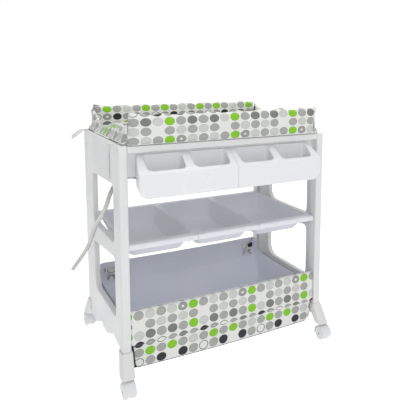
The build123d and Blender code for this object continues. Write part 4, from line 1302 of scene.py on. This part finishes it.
def makeBuckle(look):
    face, wall = look["face"], look["wall"]
    plate = makeBox("plate", ((wall + face) / 2, look["y"], look["z"]),
                    (wall - face, look["width"], look["height"]))
    editParts(plate, "edges", lambda edge: abs(edge.verts[0].co.x - edge.verts[1].co.x) > 0.001,
              (bpy.ops.mesh.bevel, {"offset": look["round"], "segments": 5, "profile": 0.5}))
    editParts(plate, "faces", lambda side: side.normal.x < -0.9,
              (bpy.ops.mesh.inset, {"thickness": look["rim"], "depth": 0.0}),
              (bpy.ops.mesh.inset, {"thickness": look["recess"], "depth": -look["recess"]}))
    parts = [plate]
    for way in (1, -1):
        bpy.ops.mesh.primitive_cylinder_add(
            vertices=20, radius=look["barRadius"], depth=look["width"] - look["barShort"],
            location=(face + look["barSink"], look["y"], look["z"] + way * look["barLift"]),
            rotation=(math.pi / 2, 0, 0))
        bar = bpy.context.view_layer.objects.active
        settle(bar)
        editParts(bar, "faces", lambda end: abs(end.normal.y) > 0.9,
                  (bpy.ops.mesh.inset, {"thickness": 0.0004, "depth": 0.0003}))
        parts.append(bar)
    buckle = joinPieces(parts, "sideBuckle")
    soft = buckle.modifiers.new("soft", "BEVEL")
    soft.width, soft.segments, soft.limit_method = look["soft"], 2, "ANGLE"
    applyModifiers(buckle)
    pick(buckle)
    bpy.ops.object.shade_smooth_by_angle(angle=math.radians(35))
    fitPiece(buckle, "sideBuckle", "frame", "frame_plastic", "mouldedWhite", "strap_buckle")


makeBuckle(sideBuckle)
print("straps and buckle made")


# Floor, world and lamps

studio = {
    "floor": (0.86, 0.86, 0.87),
    "floorSize": 40,
    "floorGlow": 0.76,
    "floorFill": 0.36,
    "world": (0.965, 0.975, 1.0),
    "worldLight": 0.49,
    "lamps": (("frontLamp", (-0.9, -3.0, 1.7), 0.9, 18.0), ("keyLamp", (0.5, -1.2, 3.1), 1.6, 16.0),
              ("topLamp", (0.2, 0.5, 3.0), 1.6, 22.0)),
    "aim": (0.0, 0.0, 0.5),
}


def seenRays(tree):  # 1 where a ray comes from the camera, by a mirror or glass too
    rays = addNode(tree, "LightPath")
    mirrored = calc("MAXIMUM", rays["Is Glossy Ray"], rays["Is Transmission Ray"])
    return calc("MAXIMUM", rays["Is Camera Ray"], mirrored)


def makeStudio(look):
    bpy.ops.mesh.primitive_plane_add(size=look["floorSize"], location=(0, 0, 0))
    floor = bpy.context.view_layer.objects.active
    floor.name = "studioFloor"
    material, tree, shader = newMaterial("studioFloor")
    wire(shader, {"Base Color": (*look["floor"], 1), "Roughness": 0.9, "Specular IOR Level": 0.1})
    strength = remap(seenRays(tree), 0.0, 1.0, (look["floorFill"], look["floorGlow"]))
    glow = addNode(tree, "Emission", {"Strength": strength})[0]
    both = addNode(tree, "AddShader", {0: tree.nodes["Principled BSDF"].outputs[0], 1: glow})[0]
    wire(tree.nodes["Material Output"].inputs, {"Surface": both})
    floor.data.materials.append(material)
    world = bpy.data.worlds.new("studioWorld")
    scene.world = world
    world.use_nodes = True
    tree = world.node_tree
    seen = seenRays(tree)
    wire(tree.nodes["Background"].inputs, {"Color": mixColour(seen, look["world"], (1.0, 1.0, 1.0)),
                                           "Strength": remap(seen, 0.0, 1.0, (look["worldLight"], 1.0))})
    for name, place, size, power in look["lamps"]:
        data = bpy.data.lights.new(name, "AREA")
        data.size, data.energy = size, power
        lamp = linked(name, data)
        lamp.location = place
        lamp.rotation_euler = (Vector(look["aim"]) - Vector(place)).to_track_quat("-Z", "Y").to_euler()


makeStudio(studio)
scene.view_settings.view_transform = "Standard"
print("studio set")

bpy.context.view_layer.update()
